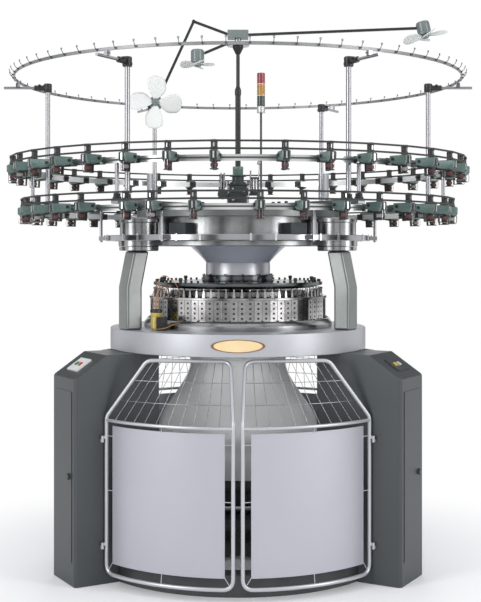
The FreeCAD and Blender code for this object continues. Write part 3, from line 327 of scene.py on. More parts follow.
base_dark = finish("base paint", (0.055, 0.062, 0.062), 0.2, 0.42, vary=0.25, grain=0.25, grain_scale=500)
leg_turns = (60.0, 180.0, 300.0)
lathe(((0.700, 0.0), (0.798, 0.0), (0.800, 0.003), (0.800, 0.105), (0.795, 0.110), (0.705, 0.110),
       (0.700, 0.105)))
for angle in leg_turns:
    brick(-0.075, 0.075, -0.72, -0.02, 0.020, 0.100, angle)
lathe(((0.0, 0.02), (0.090, 0.02), (0.090, 0.147), (0.087, 0.1499), (0.031, 0.1499), (0.031, 0.08),
       (0.0, 0.08)), 48)
made("floor_ring", base_dark, ["base_frame"])

# ---------------- leg cabinets
# Two slab-shaped steel cabinets carry the table, with a plain leg behind. Bent sheet
# in slate metallic paint; each narrow end has a cover that lifts off on a key lock.


def softened(node, name, material, bevel, segments=2, smooth=32.0):
    """A copy of a solid with its facets merged and its edges rounded a little."""
    source = frame["nodes"][node]
    shape.from_mesh(source.data)
    bmesh.ops.remove_doubles(shape, verts=shape.verts, dist=2e-5)
    bmesh.ops.dissolve_limit(shape, angle_limit=deg(1.0), verts=shape.verts, edges=shape.edges)
    mesh = shaded(name, smooth)
    mesh.materials.clear()
    mesh.materials.append(material)
    return settled(name, mesh, [node], source["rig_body"], bevel, smooth, segments)


cabinet_grey = finish("slate metallic paint", (0.068, 0.076, 0.079), 0.55, 0.40, vary=0.05, scale=2.0,
                      grain=0.12, grain_scale=900)
softened("cabinet_left", "leg_cabinet_left", cabinet_grey, 0.003)
softened("cabinet_right", "leg_cabinet_right", cabinet_grey, 0.003)
softened("rear_leg", "leg_rear", cabinet_grey, 0.003)
softened("cabinet_covers", "end_covers", cabinet_grey, 0.0008)

# ---------------- table
# Cast table with a deep skirt, turned, painted silver and rubbed smooth. It rests on the
# cabinets and the rear leg, and carries the bed and the columns.

silver = finish("silver paint", (0.42, 0.43, 0.455), 0.40, 0.42, vary=0.03, scale=3.0, grain=0.05,
                grain_scale=700)
table_low, table_top, table_r = 1.160, 1.275, 0.704
lathe(((0.374, table_low), (0.698, table_low), (0.702, 1.161), (table_r, 1.164), (table_r, 1.270),
       (0.7025, 1.2735), (0.699, table_top), (0.400, table_top), (0.400, 1.175), (0.374, 1.175)), 192)
made("table_casting", silver, ["machine_table"])

# ---------------- cylinder bed
# Stepped steel ring that carries the cams, turned bright. It lies on the table, and cap
# screws round its rim hold it down.

bright_steel = finish("turned steel", (0.36, 0.36, 0.37), 1.0, 0.20, vary=0.10, grain=0.10, grain_scale=260,
                      around=True)
hair = 0.0002
bed_low, bed_top = table_top + hair, 1.325
lathe(((0.384, bed_low), (0.5195, bed_low), (0.520, 1.277), (0.520, 1.300), (0.518, 1.303), (0.504, 1.3235),
       (0.501, bed_top), (0.384, bed_top)), 192)
made("bed_ring", bright_steel, ["cylinder_bed"])

# ---------------- control panels
# A plate on each sloping cabinet top, pale on the left and dark on the right. The
# square push keys stand in cut-outs of the plate and travel a few millimetres.

pale_plate = finish("pale plate", (0.72, 0.73, 0.71), 0.0, 0.35, vary=0.03, grain=0.05)
dark_plate = finish("dark plate", (0.05, 0.055, 0.06), 0.1, 0.32, vary=0.1, grain=0.05)
slope_inner, slope_outer, slope_low, slope_high = 0.855, 1.030, 1.044, 1.160
slope = math.atan2(slope_high - slope_low, slope_outer - slope_inner)
left_turn, right_turn = -60.0, 60.0
key_x, key_half, key_hole = 0.022, 0.012, 0.0123


def on_slope(corners, angle):
    """Carries points from the origin to the middle of a cabinet's sloping top."""
    turned(corners, slope, "X")
    bmesh.ops.translate(shape, verts=corners, vec=(0, -(slope_inner + slope_outer) / 2,
                                                       (slope_low + slope_high) / 2))
    turned(corners, deg(angle))


for name, angle, material, stands_for in (
    ("panel_left", left_turn, pale_plate, ["control_panels"]), ("panel_right", right_turn, dark_plate, ()),
):
    for x0, x1, y0, y1 in (
        (-0.065, 0.065, key_hole, 0.048), (-0.065, 0.065, -0.048, -key_hole),
        (-0.065, -key_x - key_hole, -key_hole, key_hole), (key_x + key_hole, 0.065, -key_hole, key_hole),
        (-key_x + key_hole, key_x - key_hole, -key_hole, key_hole),
    ):
        on_slope(brick(x0, x1, y0, y1, 0.0, 0.008), angle)
    made(name, material, stands_for)
for node, side, angle, tint, colour, roughness, vary in (
    ("start_button", -1, left_turn, "green", (0.03, 0.22, 0.09), 0.28, 0.08),
    ("stop_button", 1, left_turn, "red", (0.50, 0.035, 0.03), 0.28, 0.08),
    ("inch_button", -1, right_turn, "yellow", (0.62, 0.42, 0.04), 0.28, 0.08),
    ("reset_button", 1, right_turn, "grey", (0.55, 0.56, 0.55), 0.32, 0.05),
):
    x = side * key_x
    on_slope(brick(x - key_half, x + key_half, -key_half, key_half, 0.0034, 0.0128), angle)
    paint = finish(tint + " key", colour, 0.0, roughness, vary)
    made(node + "_key", paint, [node], bevel=0.0015, body=node + "_body")

# ---------------- nameplate
# Thin oval pressing, bent to the skirt of the table: a cream and gold field inside a
# raised brown rim. It is left bare.

cream = finish("cream enamel", (0.72, 0.55, 0.31), 0.0, 0.45, vary=0.08, scale=9.0)
brown = finish("brown rim", (0.20, 0.085, 0.035), 0.0, 0.45, vary=0.1)
oval_half_x, oval_half_z, oval_z, oval_back = 0.1355, 0.0328, 1.2175, 0.7035


def shares(count):
    """Shares from 0 to 1 in equal steps."""
    return [k / count for k in range(count + 1)]


def oval_band(inner, outer, front):
    """A band of the oval between two shares of its size, its face at front from the axis."""
    steps, rings = 64, 6
    section = [(inner, oval_back), (outer, oval_back)]
    section += [(outer + (inner - outer) * share, front) for share in shares(rings)]
    rows = []
    for share, r in section:
        row = []
        for a in circle(steps):
            x, z = oval_half_x * share * math.cos(a), oval_z + oval_half_z * share * math.sin(a)
            row.append(vertex((x, -math.sqrt(r * r - x * x), z)))
        rows.append(row)
    skin(rows, closed=inner > 0.0)
    bmesh.ops.remove_doubles(shape, verts=[v for row in rows for v in row], dist=1e-6)


for name, inner, outer, front, material, stands_for in (
    ("plate_field", 0.0, 0.90, 0.7058, cream, ["nameplate"]), ("plate_rim", 0.90, 1.0, 0.7068, brown, ()),
):
    oval_band(inner, outer, front)
    made(name, material, stands_for)

# ---------------- bed screws
# Cap screws hold the bed to the table. A node tree sets every ring of like pieces on
# this machine: it turns copies of one unit round the axis and gives them their finish.

tree = bpy.data.node_groups.new("ring of pieces", "GeometryNodeTree")
for name, way, kind in (
    ("Places", "INPUT", "Geometry"), ("Unit", "INPUT", "Object"), ("Radius", "INPUT", "Float"),
    ("Level", "INPUT", "Float"), ("Finish", "INPUT", "Material"), ("Pieces", "OUTPUT", "Geometry"),
):
    tree.interface.new_socket(name, in_out=way, socket_type="NodeSocket" + kind)
given = added(tree, "NodeGroupInput").outputs
unit_shape = added(tree, "GeometryNodeObjectInfo", {"Object": given["Unit"]}).outputs["Geometry"]
turn = added(tree, "GeometryNodeInputNamedAttribute", {"Name": "turn"}, data_type="FLOAT")
turning = added(tree, "ShaderNodeCombineXYZ", {"Z": turn.outputs["Attribute"]}).outputs[0]
copies = added(tree, "GeometryNodeInstanceOnPoints", {"Points": given["Places"], "Instance": unit_shape,
                                                      "Rotation": turning})
forward = added(tree, "ShaderNodeMath", {0: given["Radius"], 1: -1.0}, operation="MULTIPLY").outputs[0]
shift = added(tree, "ShaderNodeCombineXYZ", {"Y": forward, "Z": given["Level"]}).outputs[0]
moved = added(tree, "GeometryNodeTranslateInstances", {"Instances": copies.outputs["Instances"],
                                                       "Translation": shift})
whole = added(tree, "GeometryNodeRealizeInstances", {"Geometry": moved.outputs["Instances"]})
coated = added(tree, "GeometryNodeSetMaterial", {"Geometry": whole.outputs["Geometry"],
                                                 "Material": given["Finish"]})
added(tree, "NodeGroupOutput", {"Pieces": coated.outputs["Geometry"]})
inputs = {item.name: item.identifier for item in tree.interface.items_tree if item.in_out == "INPUT"}


def around(name, turns, material, slot, stands_for=(), radius=0.0, level=0.0, body="machine_frame"):
    """One unit, modelled at the front, repeated at each angle round the axis."""
    bmesh.ops.recalc_face_normals(shape, faces=shape.faces)
    unit = stood(name + "_unit", shaded(name + "_unit", 32.0))
    places = bpy.data.meshes.new(name + "_places")
    places.from_pydata([(0, 0, 0)] * len(turns), [], [])
    places.attributes.new("turn", "FLOAT", "POINT").data.foreach_set("value", [deg(a) for a in turns])
    holder = stood(name + "_places", places)
    ring = holder.modifiers.new("ring", "NODES")
    ring.node_group = tree
    ring[inputs["Unit"]] = unit
    ring[inputs["Radius"]] = radius
    ring[inputs["Level"]] = level
    ring[inputs["Finish"]] = material
    bpy.context.view_layer.update()
    graph = bpy.context.evaluated_depsgraph_get()
    plain = bpy.data.meshes.new_from_object(holder.evaluated_get(graph))
    plain.name = name
    bpy.data.objects.remove(holder)
    bpy.data.objects.remove(unit)
    return settled(name, plain, stands_for, body)


def every(count, start=0.0):
    return [start + 360.0 * i / count for i in range(count)]


def cap_screw(x, y, z, radius, height, sides=10):
    """A cap screw's head with its socket."""
    lathe(((0.0, z), (radius, z), (radius, z + height * 0.8), (radius * 0.8, z + height),
           (radius * 0.45, z + height), (radius * 0.45, z + height * 0.5), (0.0, z + height * 0.5)),
          sides, (x, y))


black_metal = finish("black paint", (0.022, 0.023, 0.024), 0.3, 0.36, vary=0.2, grain=0.1)
cap_screw(0, 0, 0, 0.0042, 0.005)
around("bed_screws", every(36, 5.0), black_metal, "black_metal", radius=0.4935, level=bed_top)

# ---------------- cam boxes
# Thirty-six wedge-shaped cam boxes, ground flat on their faces, each for two feeders. The
# two columns of four pockets, where the cams are locked and set, have a groove between.

# The broad swings of tone in this ground steel are painted reflections: bright and dark patches that stand
# for the surroundings mirrored in the flat faces.
cam_steel = finish("ground steel", (0.34, 0.335, 0.335), 1.0, 0.20, vary=0.70, scale=5.0, grain=0.10,
                   grain_scale=500, stretch=(1.0, 1.0, 0.05))
cam_turns, cam_top, cam_back, cam_face, cam_edge = every(36, 5.0), 1.433, 0.384, 0.485, 0.4838
back_half, face_half = (r * math.tan(deg(5)) - 0.0008 for r in (cam_back, cam_face))
groove_half, pocket_x, pocket_half, pocket_depth = 0.0013, cam_face * math.tan(deg(2.5)), 0.0056, 0.0035
pocket_rows, row_half = (1.341, 1.366, 1.391, 1.417), 0.0052
levels = [bed_top] + [z + side * row_half for z in pocket_rows for side in (-1, 1)] + [cam_top]
right_lines = (groove_half, pocket_x - pocket_half, pocket_x + pocket_half, face_half - 0.0012)
face_lines = [-x for x in right_lines[::-1]] + list(right_lines)
back = [vertex((side * back_half, -cam_back, z))
        for side, z in ((1, bed_top), (-1, bed_top), (-1, cam_top), (1, cam_top))]
face(back)
grid = [[vertex((x, -cam_face, z)) for x in face_lines] for z in levels]
for row, (low, high) in enumerate(zip(grid, grid[1:])):
    for column in range(7):
        corners = (low[column], low[column + 1], high[column + 1], high[column])
        if column == 3 or (column in (1, 5) and row % 2 == 1):
            deep = [vertex(v.co + Vector((0, pocket_depth, 0))) for v in corners]
            skin([corners, deep])
            face(deep)
        else:
            face(corners)
left, right = [[vertex((side * face_half, -cam_edge, z)) for z in levels] for side in (-1, 1)]
for row in range(len(levels) - 1):
    face((left[row], grid[row][0], grid[row + 1][0], left[row + 1]))
    face((grid[row][-1], right[row], right[row + 1], grid[row + 1][-1]))
face([back[1]] + left + [back[2]])
face([back[3]] + right[::-1] + [back[0]])
face([back[0], back[1], left[0]] + grid[0] + [right[0]])
face([right[-1]] + grid[-1][::-1] + [left[-1], back[2], back[3]])
around("cam_box_ring", cam_turns, cam_steel, "cam_steel", ["cam_boxes"])
# Black plates on the pockets' floors: screw heads, and painted shade that makes the pockets darker than their
# depth alone would.
for z in pocket_rows:
    for x in (-pocket_x, pocket_x):
        brick(x - 0.0054, x + 0.0054, -0.4828, -0.4816, z - 0.005, z + 0.005)
around("cam_pockets", cam_turns, black_metal, "black_metal")

# ---------------- yarn guides
# Bright steel ring on the cam boxes with a pointed finger for every feeder. An eyelet
# near the finger's tip leads the yarn to the needles.


def hoop(inner, outer, low, high, steps=144, centre=(0.0, 0.0)):
    """A plain ring, or an upright bar where inner is 0."""
    lathe(((inner, low), (outer, low), (outer, high), (inner, high)), steps, centre)


guide_top, feed_turns = 1.446, every(72, 2.5)
# The carrier ring is made in the cam boxes' steel, with the same painted reflections.
lathe(((0.440, cam_top), (0.4895, cam_top), (0.491, 1.4345), (0.491, 1.4445), (0.4895, guide_top),
       (0.440, guide_top)), 180)
made("guide_carrier", cam_steel, ["guide_ring"])
finger = [[vertex((x * half, y, z)) for x, y in ((-1, low), (1, low), (0.7, high), (-0.7, high))]
          for half, low, high, z in ((0.0072, -0.0088, -0.0003, 0.0), (0.0072, -0.0088, -0.0003, 0.006),
                                     (0.0020, -0.0065, -0.0030, 0.046))]
face(finger[0])
face(finger[2])
skin(finger)
hoop(0.0012, 0.0034, 0.037, 0.043, 8, (0.0, -0.0082))
around("guide_fingers", feed_turns, bright_steel, "bright_steel", ["yarn_guides"], 0.459, guide_top)

# ---------------- cylinder and dial
# The needle cylinder turns on its gear ring inside the cams, and the dial turns with it
# above. Both are slotted for needles that slide in fine grooves.

slotted = finish("slotted steel", (0.20, 0.20, 0.205), 1.0, 0.26, vary=0.06, grain=0.2, grain_scale=260,
                 around=True)
hoop(0.361, 0.3805, 1.2155, 1.4315, 180)
made("cylinder_body_ring", slotted, ["needle_cylinder"], body="cylinder_body")
brick(-0.0006, 0.0006, -0.3806, -0.370, -0.005, 0.0008)
around("needle_tips", every(360), bright_steel, "bright_steel", level=1.431, body="cylinder_body")
softened("gear_ring", "drive_gear_ring", slotted, 0.001)
lathe(((0.0, 1.4445), (0.370, 1.4445), (0.375, 1.4475), (0.375, 1.4735), (0.372, 1.474), (0.030, 1.474),
       (0.0298, 1.8895), (0.0, 1.8895)))
made("dial_and_shaft", slotted, ["needle_dial"], body="dial_body")

# ---------------- dial cam plate
# Fixed plate over the dial in dark polished steel, bevelled below and thick at the rim.
# Locking knobs and small setting studs stand round its edge.

dark_steel = finish("dark polished steel", (0.11, 0.12, 0.125), 1.0, 0.20, vary=0.15, scale=10.0, grain=0.06,
                    grain_scale=240, around=True)
black_plastic = finish("black moulding", (0.018, 0.018, 0.019), 0.0, 0.34, vary=0.1, grain=0.08)
shaft_hole, plate_top = 0.0303, 1.523
lathe(((shaft_hole, 1.490), (0.412, 1.490), (0.4672, 1.5055), (0.468, 1.5075), (0.468, 1.521),
       (0.466, plate_top), (shaft_hole, plate_top)), 192)
made("dial_plate", dark_steel, ["dial_cam_plate"])
lathe(((0.0, 0.0), (0.008, 0.0), (0.008, 0.006), (0.0108, 0.009), (0.0108, 0.021), (0.0085, 0.024),
       (0.0, 0.024)), 14)
around("plate_knobs", every(12, 15.0), black_plastic, "black_plastic", ["dial_knobs"], 0.430, plate_top)
lathe(((0.0, 0.0), (0.0062, 0.0), (0.0062, 0.0095), (0.0048, 0.0115), (0.0, 0.0115)), 8)
clear_of_knobs = [a for a in feed_turns if 4.0 < (a - 15.0) % 30.0 < 26.0]
around("plate_studs", clear_of_knobs, black_metal, "black_metal", radius=0.452, level=plate_top)

# ---------------- hub and cone
# Turned silver hub on a dark flange ring, with a cast cone above it that widens to meet
# the platform. The cone has blue-grey enamel over a smooth surface.

cone_paint = finish("blue grey enamel", (0.50, 0.535, 0.62), 0.30, 0.30, vary=0.04, grain=0.05, around=True)
hub_silver = finish("hub silver", (0.55, 0.56, 0.60), 0.85, 0.38, vary=0.03, grain=0.08, grain_scale=260,
                    around=True)
flange_top, hub_top, cone_top = 1.558, 1.627, 1.715
lathe(((shaft_hole, plate_top), (0.199, plate_top), (0.200, 1.525), (0.200, 1.531), (0.196, 1.533),
       (0.196, 1.551), (0.200, 1.553), (0.200, 1.557), (shaft_hole, flange_top)))
made("flange_ring", dark_steel, ["hub_ring"])
cap_screw(0, 0, 0, 0.0055, 0.007)
around("flange_screws", every(12, 8.0), black_metal, "black_metal", radius=0.189, level=1.5575)
lathe(((shaft_hole, flange_top), (0.176, flange_top), (0.178, 1.560), (0.178, 1.622), (0.176, hub_top),
       (shaft_hole, hub_top)))
made("hub_barrel", hub_silver, ["dial_hub"])
flare = [(shaft_hole, hub_top), (0.177, hub_top)]
for t in shares(10)[1:]:
    flare.append((0.178 + 0.087 * (0.80 * t + 0.20 * t * t), 1.629 + 0.086 * t))
lathe(flare + [(shaft_hole, cone_top)])
made("hub_cone", cone_paint)

# ---------------- platform
# Round casting over three column bosses, turned and polished. The top plate is painted
# grey, is bolted down and carries all that stands above.

# The broad swings of tone in the polished casting are painted reflections: dark and bright patches that stand
# for the surroundings mirrored in the turned drum and the bosses.
polished = finish("polished casting, painted reflections", (0.30, 0.305, 0.31), 0.95, 0.22, vary=0.35, scale=4.5, grain=0.06,
                  grain_scale=200, around=True)
grey_paint = finish("grey metallic paint", (0.215, 0.228, 0.225), 0.85, 0.30, vary=0.16, scale=4.0,
                    grain=0.05)
flange_high, drum_top, cover_top = 1.745, 1.868, 1.913
lathe(((shaft_hole, cone_top), (0.556, cone_top), (0.560, 1.719), (0.560, 1.741), (0.556, flange_high),
       (0.470, flange_high), (0.470, drum_top), (shaft_hole, drum_top)), 180)
made("platform_drum", polished, ["platform"])
for angle in leg_turns:
    lathe(((0.0, 1.690), (0.100, 1.690), (0.104, 1.694), (0.104, 1.712), (0.108, 1.716), (0.108, 1.744),
           (0.101, 1.748), (0.101, 1.838), (0.1065, 1.842), (0.1065, 1.860), (0.103, 1.8645), (0.0, 1.8645)),
          72, polar(0.605, angle))
made("platform_bosses", polished)
lathe(((0.031, drum_top), (0.557, drum_top), (0.560, 1.871), (0.560, 1.909), (0.556, cover_top),
       (0.031, cover_top)), 180)
made("cover_plate", grey_paint, ["top_plate"])
cap_screw(0, 0, 0, 0.008, 0.010, 12)
around("cover_screws", every(24, 7.5), black_metal, "black_metal", radius=0.535, level=cover_top)

# ---------------- columns
# Three box columns of welded plate with generous rounded corners. They stand on the
# table and lean in at the top to meet the platform.

softened("columns", "frame_columns", grey_paint, 0.013, 4)

# ---------------- rail
# Chromed band round the column bosses. Six clamp blocks carry it on rods that hang from
# the arms above.

chrome = finish("chrome", (0.36, 0.36, 0.38), 1.0, 0.18, vary=0.04, grain_scale=30)
bright_chrome = finish("bright chrome", (0.74, 0.74, 0.75), 1.0, 0.30, vary=0.03, grain_scale=30)
arm_turns, band_face = every(6, 30.0), -0.7272
lathe(((0.7133, 1.746), (0.7153, 1.744), (0.7253, 1.744), (0.7273, 1.746), (0.7273, 1.772), (0.7253, 1.774),
       (0.7153, 1.774), (0.7133, 1.772)), 180)
made("rail_band", chrome, ["rail_ring"])
lathe(((0.0, 1.738), (0.0065, 1.738), (0.008, 1.7395), (0.008, 1.9128), (0.0, 1.9128)), 16, (0.0, -0.760))
brick(-0.012, 0.012, -0.7715, band_face, 1.748, 1.770)
brick(-0.018, 0.018, -0.7312, band_face, 1.746, 1.772)
cap_screw(0.0, -0.741, 1.770, 0.0045, 0.006)
around("rail_hangers", arm_turns, chrome, "chrome", ["rail_rods"])
brick(-0.005, 0.005, -0.7305, band_face, 1.743, 1.775)
cap_screw(0.0, -0.7290, 1.775, 0.0030, 0.004, 8)
clear_of_clamps = [a for a in cam_turns if (a + 5.0) % 30.0 > 1.0]
around("rail_clips", clear_of_clamps, bright_chrome, "chrome")

# ---------------- arms and posts
# Six flat arms bolted to the top plate reach out to the feeder rings. A long post near
# each end carries the creel, and a short one the upper ring. The rear posts have sleeves.

arm_top, long_post, short_post = 1.938, (0.0, -1.056), (0.0, -1.140)
softened("ring_arms", "ring_arm_bars", grey_paint, 0.003)
for y in (-0.372, -0.430, -0.500):
    cap_screw(0.0, y, arm_top, 0.009, 0.011, 12)
around("arm_screws", arm_turns, black_metal, "black_metal")
hoop(0.0, 0.0125, arm_top - hair, 2.574, 24, long_post)
hoop(0.0, 0.010, arm_top - hair, 2.106, 20, short_post)
around("upright_posts", arm_turns, chrome, "chrome", ["ring_posts"])
for post, hole in ((long_post, 0.0126), (short_post, 0.0101)):
    lathe(((hole, arm_top), (0.021, arm_top), (0.021, 1.944), (0.017, 1.948), (0.017, 1.962), (hole, 1.962)),
          20, post)
around("post_collars", arm_turns, black_metal, "black_metal")
lathe(((0.0, 2.014), (0.031, 2.014), (0.0335, 2.0165), (0.0335, 2.1775), (0.031, 2.180), (0.0, 2.180)), 28,
      (0.0, -1.090))
around("rear_post_sleeves", [150.0, -150.0], silver, "silver_paint")

# ---------------- feeder rings
# Two rolled rings of steel T section, chromed on the web and dark on the flange, which
# points outwards. The lower one is bolted under the arms' ends, and the upper one stands
# on the short posts.

lower_ring, upper_ring = (1.080, 1.883), (1.140, 2.105)
for r, z in (lower_ring, upper_ring):
    hoop(r - 0.010, r - 0.0065, z, z + 0.030, 180)
made("ring_webs", bright_chrome, ["feeder_bars"])
for r, z in (lower_ring, upper_ring):
    lathe(((r - 0.0066, z + 0.0115), (r + 0.010, z + 0.0125), (r + 0.010, z + 0.0185),
           (r - 0.0066, z + 0.0195)), 180)
made("ring_flanges", base_dark)

# ---------------- yarn feeders
# Seventy positive feeders clamp on the rings, none in front of the drive. Each is a die
# cast housing in green enamel over a yarn wheel, which winds a few turns of yarn.

green_enamel = finish("green enamel", (0.125, 0.185, 0.170), 0.25, 0.28, vary=0.10, scale=20.0, grain=0.06)
yarn_red = finish("dyed yarn", (0.085, 0.034, 0.032), 0.0, 0.85, vary=0.35, scale=40.0, grain=0.6,
                  grain_scale=900, stretch=(0.2, 0.2, 1.0))
yarn_grey = finish("grey yarn", (0.22, 0.205, 0.19), 0.0, 0.85, vary=0.15, scale=40.0, grain=0.6,
                   grain_scale=900, stretch=(0.2, 0.2, 1.0))
lamp_red = finish("red lens", (0.42, 0.02, 0.02), 0.0, 0.15, vary=0.1, coat=0.5)
upper_turns = [10.0 * k for k in range(1, 18)] + [-5.0 - 10.0 * k for k in range(18)]
lower_turns = [5.0 + 10.0 * k for k in range(18)]
lower_turns += [-10.0 * k + (3.4 if k % 6 == 3 else 0.0) for k in range(1, 18)]
wheel = (0.0, -0.090)


def outline_block(half, outline, edge=0.0):
    """A block with its outline in the plane of y and z, and its edges broken."""
    corners = prism([(-half, y, z) for y, z in outline], (2 * half, 0, 0))
    if edge:
        edges = list(dict.fromkeys(e for v in corners for e in v.link_edges))
        bmesh.ops.bevel(shape, geom=edges, offset=edge, segments=1, affect="EDGES")


def pipe(points, radius, sides=12, closed=False):
    """A round bar along a line of points, its section carried on without a twist."""
    points = [Vector(p) for p in points]
    count, rows, side = len(points), [], None
    for i, point in enumerate(points):
        before = points[i - 1] if i or closed else point
        after = points[(i + 1) % count] if closed or i + 1 < count else point
        along = (after - before).normalized()
        side = along.orthogonal() if side is None else side - along * side.dot(along)
        side = side.normalized()
        up = along.cross(side)
        rows.append([vertex(point + (side * math.cos(a) + up * math.sin(a)) * radius)
                     for a in circle(sides)])
    if closed:
        twist = min(range(sides), key=lambda s: (rows[-1][0].co - rows[0][s].co).length)
        skin(rows + [rows[0][twist:] + rows[0][:twist]])
    else:
        skin(rows)
        face(rows[0][::-1])
        face(rows[-1])


for tag, (ring_r, ring_z), turns in (("lower", lower_ring, lower_turns), ("upper", upper_ring, upper_turns)):
    spot = {"radius": ring_r, "level": ring_z}
    first = tag == "lower"
    outline_block(0.0195, ((-0.0105, 0.006), (-0.046, 0.004), (-0.060, -0.004), (-0.110, -0.006),
                           (-0.1195, 0.006), (-0.1215, 0.034), (-0.116, 0.0415), (-0.0105, 0.0415)), 0.0030)
    outline_block(0.0225, ((-0.062, 0.0), (-0.114, 0.0), (-0.118, 0.012), (-0.058, 0.012)), 0.002)
    around(tag + "_housings", turns, green_enamel, "green_paint", ["yarn_feeders"] if first else (), **spot)
    brick(-0.019, 0.019, -0.0125, 0.0120, -0.003, 0.000)
    brick(-0.019, 0.019, 0.0105, 0.0150, -0.003, 0.033)
    pipe([(0.0, 0.0150, 0.018), (0.0, 0.0270, 0.018)], 0.0065, 10)
    outline_block(0.0125, ((-0.016, -0.006), (-0.060, -0.010), (-0.104, -0.010), (-0.104, -0.004),
                           (-0.016, 0.008)), 0.0015)
    for side in (-1, 1):
        pipe([(side * 0.0195, -0.034, 0.024), (side * 0.0260, -0.034, 0.024)], 0.0075, 10)
    around(tag + "_clamps", turns, black_metal, "chrome", **spot)
    # Bright pieces on each feeder: a narrow steel strip down the front cover, which also paints the vertical
    # highlight seen there; a cap on the wheel's axle; and a thin bright strip on the front of the black
    # spindle, which is a painted highlight.
    outline_block(0.0036, ((-0.1236, 0.004), (-0.1185, 0.004), (-0.1185, 0.037), (-0.1236, 0.035)))
    lathe(((0.0, 0.088), (0.005, 0.088), (0.005, 0.091), (0.0, 0.092)), 10, wheel)
    brick(-0.0026, 0.0026, -0.1064, -0.1050, 0.0565, 0.0750)
    around(tag + "_bright_trims", turns, bright_chrome, "chrome", **spot)
    lathe(((0.0, 0.0415), (0.017, 0.0415), (0.017, 0.0432), (0.0150, 0.0440), (0.0150, 0.0525),
           (0.017, 0.0535), (0.017, 0.0550), (0.0155, 0.0560), (0.0155, 0.0755), (0.017, 0.0765),
           (0.017, 0.0780), (0.0150, 0.0790), (0.0150, 0.0860), (0.017, 0.0870), (0.017, 0.0885),
           (0.0, 0.0885)), 18, wheel)
    lathe(((0.0, -0.006), (0.0205, -0.006), (0.0205, -0.0095), (0.0130, -0.0130), (0.0130, -0.0385),
           (0.0205, -0.0425), (0.0205, -0.0460), (0.0, -0.0475)), 16, wheel)
    outline_block(0.009, ((-0.054, 0.004), (-0.060, 0.004), (-0.063, -0.044), (-0.070, -0.0475),
                          (-0.058, -0.0475)))
    outline_block(0.0150, ((-0.108, -0.008), (-0.1205, 0.002), (-0.1225, 0.036), (-0.112, 0.0418)), 0.002)
    around(tag + "_belt_wheels", turns, black_plastic, "black_plastic", ["feeder_pulleys"] if first else (),
           **spot)
    for tint, places, material in (
        ("red", [a for k, a in enumerate(turns) if k % 4 != 3], yarn_red), ("white", turns[3::4], yarn_grey),
    ):
        lathe(((0.0129, -0.0165), (0.0172, -0.0180), (0.0174, -0.0325), (0.0129, -0.0345)), 16, wheel)
        around(tag + "_" + tint + "_yarn", places, material, "black_plastic", **spot)
    lathe(((0.0, 0.0), (0.0035, 0.0), (0.0035, -0.005), (0.0, -0.006)), 8, (0.013, -0.110))
    around(tag + "_stop_lamps", turns, lamp_red, "lamp_lens", **spot)
    for side in (-1, 1):
        pipe([(side * 0.006, -0.116, 0.004), (side * 0.008, -0.1195, -0.020), (side * 0.007, -0.117, -0.042),
              (side * 0.002, -0.112, -0.0475)], 0.0011, 5)
    around(tag + "_wire_forks", turns, chrome, "chrome", **spot)

# ---------------- feeder belts
# Two toothed belts run round each ring, one above the other, and are pressed to every
# wheel as they pass. Fabric-backed rubber, matt black.

belt_rubber = finish("belt rubber", (0.020, 0.021, 0.022), 0.0, 0.62, vary=0.15, grain=0.4, grain_scale=600)
for (ring_r, ring_z), turns in ((lower_ring, lower_turns), (upper_ring, upper_turns)):
    inner, outer, places = ring_r + 0.1052, ring_r + 0.1088, sorted(a % 360.0 for a in turns)
    for low in (ring_z + 0.0435, ring_z + 0.0785):
        section = ((inner, low), (outer, low), (outer, low + 0.009), (inner, low + 0.009))
        skin([[vertex(polar(r, a, z)) for r, z in section] for a in places], closed=True)
made("toothed_belts", belt_rubber, ["feeder_belts"])

# ---------------- creel ring
# A strip of dull zinc held high over the feeders on six chromed rods. Wire eyelets round
# it lead the yarns in; black moulded tees join rods and posts.

zinc = finish("dull zinc", (0.27, 0.275, 0.28), 0.6, 0.45, vary=0.10, scale=12.0)
rod_z = 2.595
lathe(((0.0, 2.570), (0.0215, 2.570), (0.0225, 2.572), (0.0225, 2.614), (0.019, 2.618), (0.0, 2.618)), 20,
      long_post)
pipe([(0, -1.060, rod_z), (0, -1.0785, rod_z)], 0.0195, 16)
pipe([(0, -1.0790, rod_z), (0, -1.130, rod_z)], 0.0150, 16)
for y, z in ((-1.056, 2.582), (-1.100, 2.607)):
    brick(-0.0265, 0.0265, y - 0.005, y + 0.005, z - 0.005, z + 0.005)
around("creel_tee_joints", arm_turns, black_plastic, "black_plastic", ["creel_tees"])
pipe([(0, -1.079, rod_z), (0, -1.2995, rod_z)], 0.008, 16)
brick(-0.010, 0.010, -1.232, -1.212, 2.5995, 2.622)
pipe([(-0.018, -1.217, 2.612), (0.018, -1.217, 2.612)], 0.0028, 8)
pipe([(0.018, -1.217, 2.600), (0.018, -1.217, 2.636)], 0.0022, 8)
around("creel_arms", arm_turns, chrome, "chrome", ["creel_rods"])
lathe(((1.219, 2.6232), (1.2198, 2.6221), (1.2242, 2.6221), (1.225, 2.6232), (1.225, 2.637), (1.2242, 2.638),
       (1.2198, 2.638), (1.219, 2.637)), 180)
made("creel_band", zinc, ["creel_ring"])
pipe([(0, -1.215, 2.630), (0, -1.2330, 2.630)], 0.0050, 8)
pipe([(0, -1.2320, 2.632), (0, -1.2410, 2.640), (0, -1.2470, 2.652)], 0.0018, 6)
loop_r, loop_y, loop_z = 0.0042, -1.2475, 2.6555
pipe([(loop_r * math.cos(a), loop_y, loop_z + loop_r * math.sin(a)) for a in circle(8)], 0.0018, 5,
     closed=True)
around("creel_eyelets", feed_turns, base_dark, "black_metal")

# ---------------- feed drive
# A dark cast case on the platform takes the drive up to the belts of both rings. Its
# adjustable wheels stand open to view in front, and a small green motor stands on top.

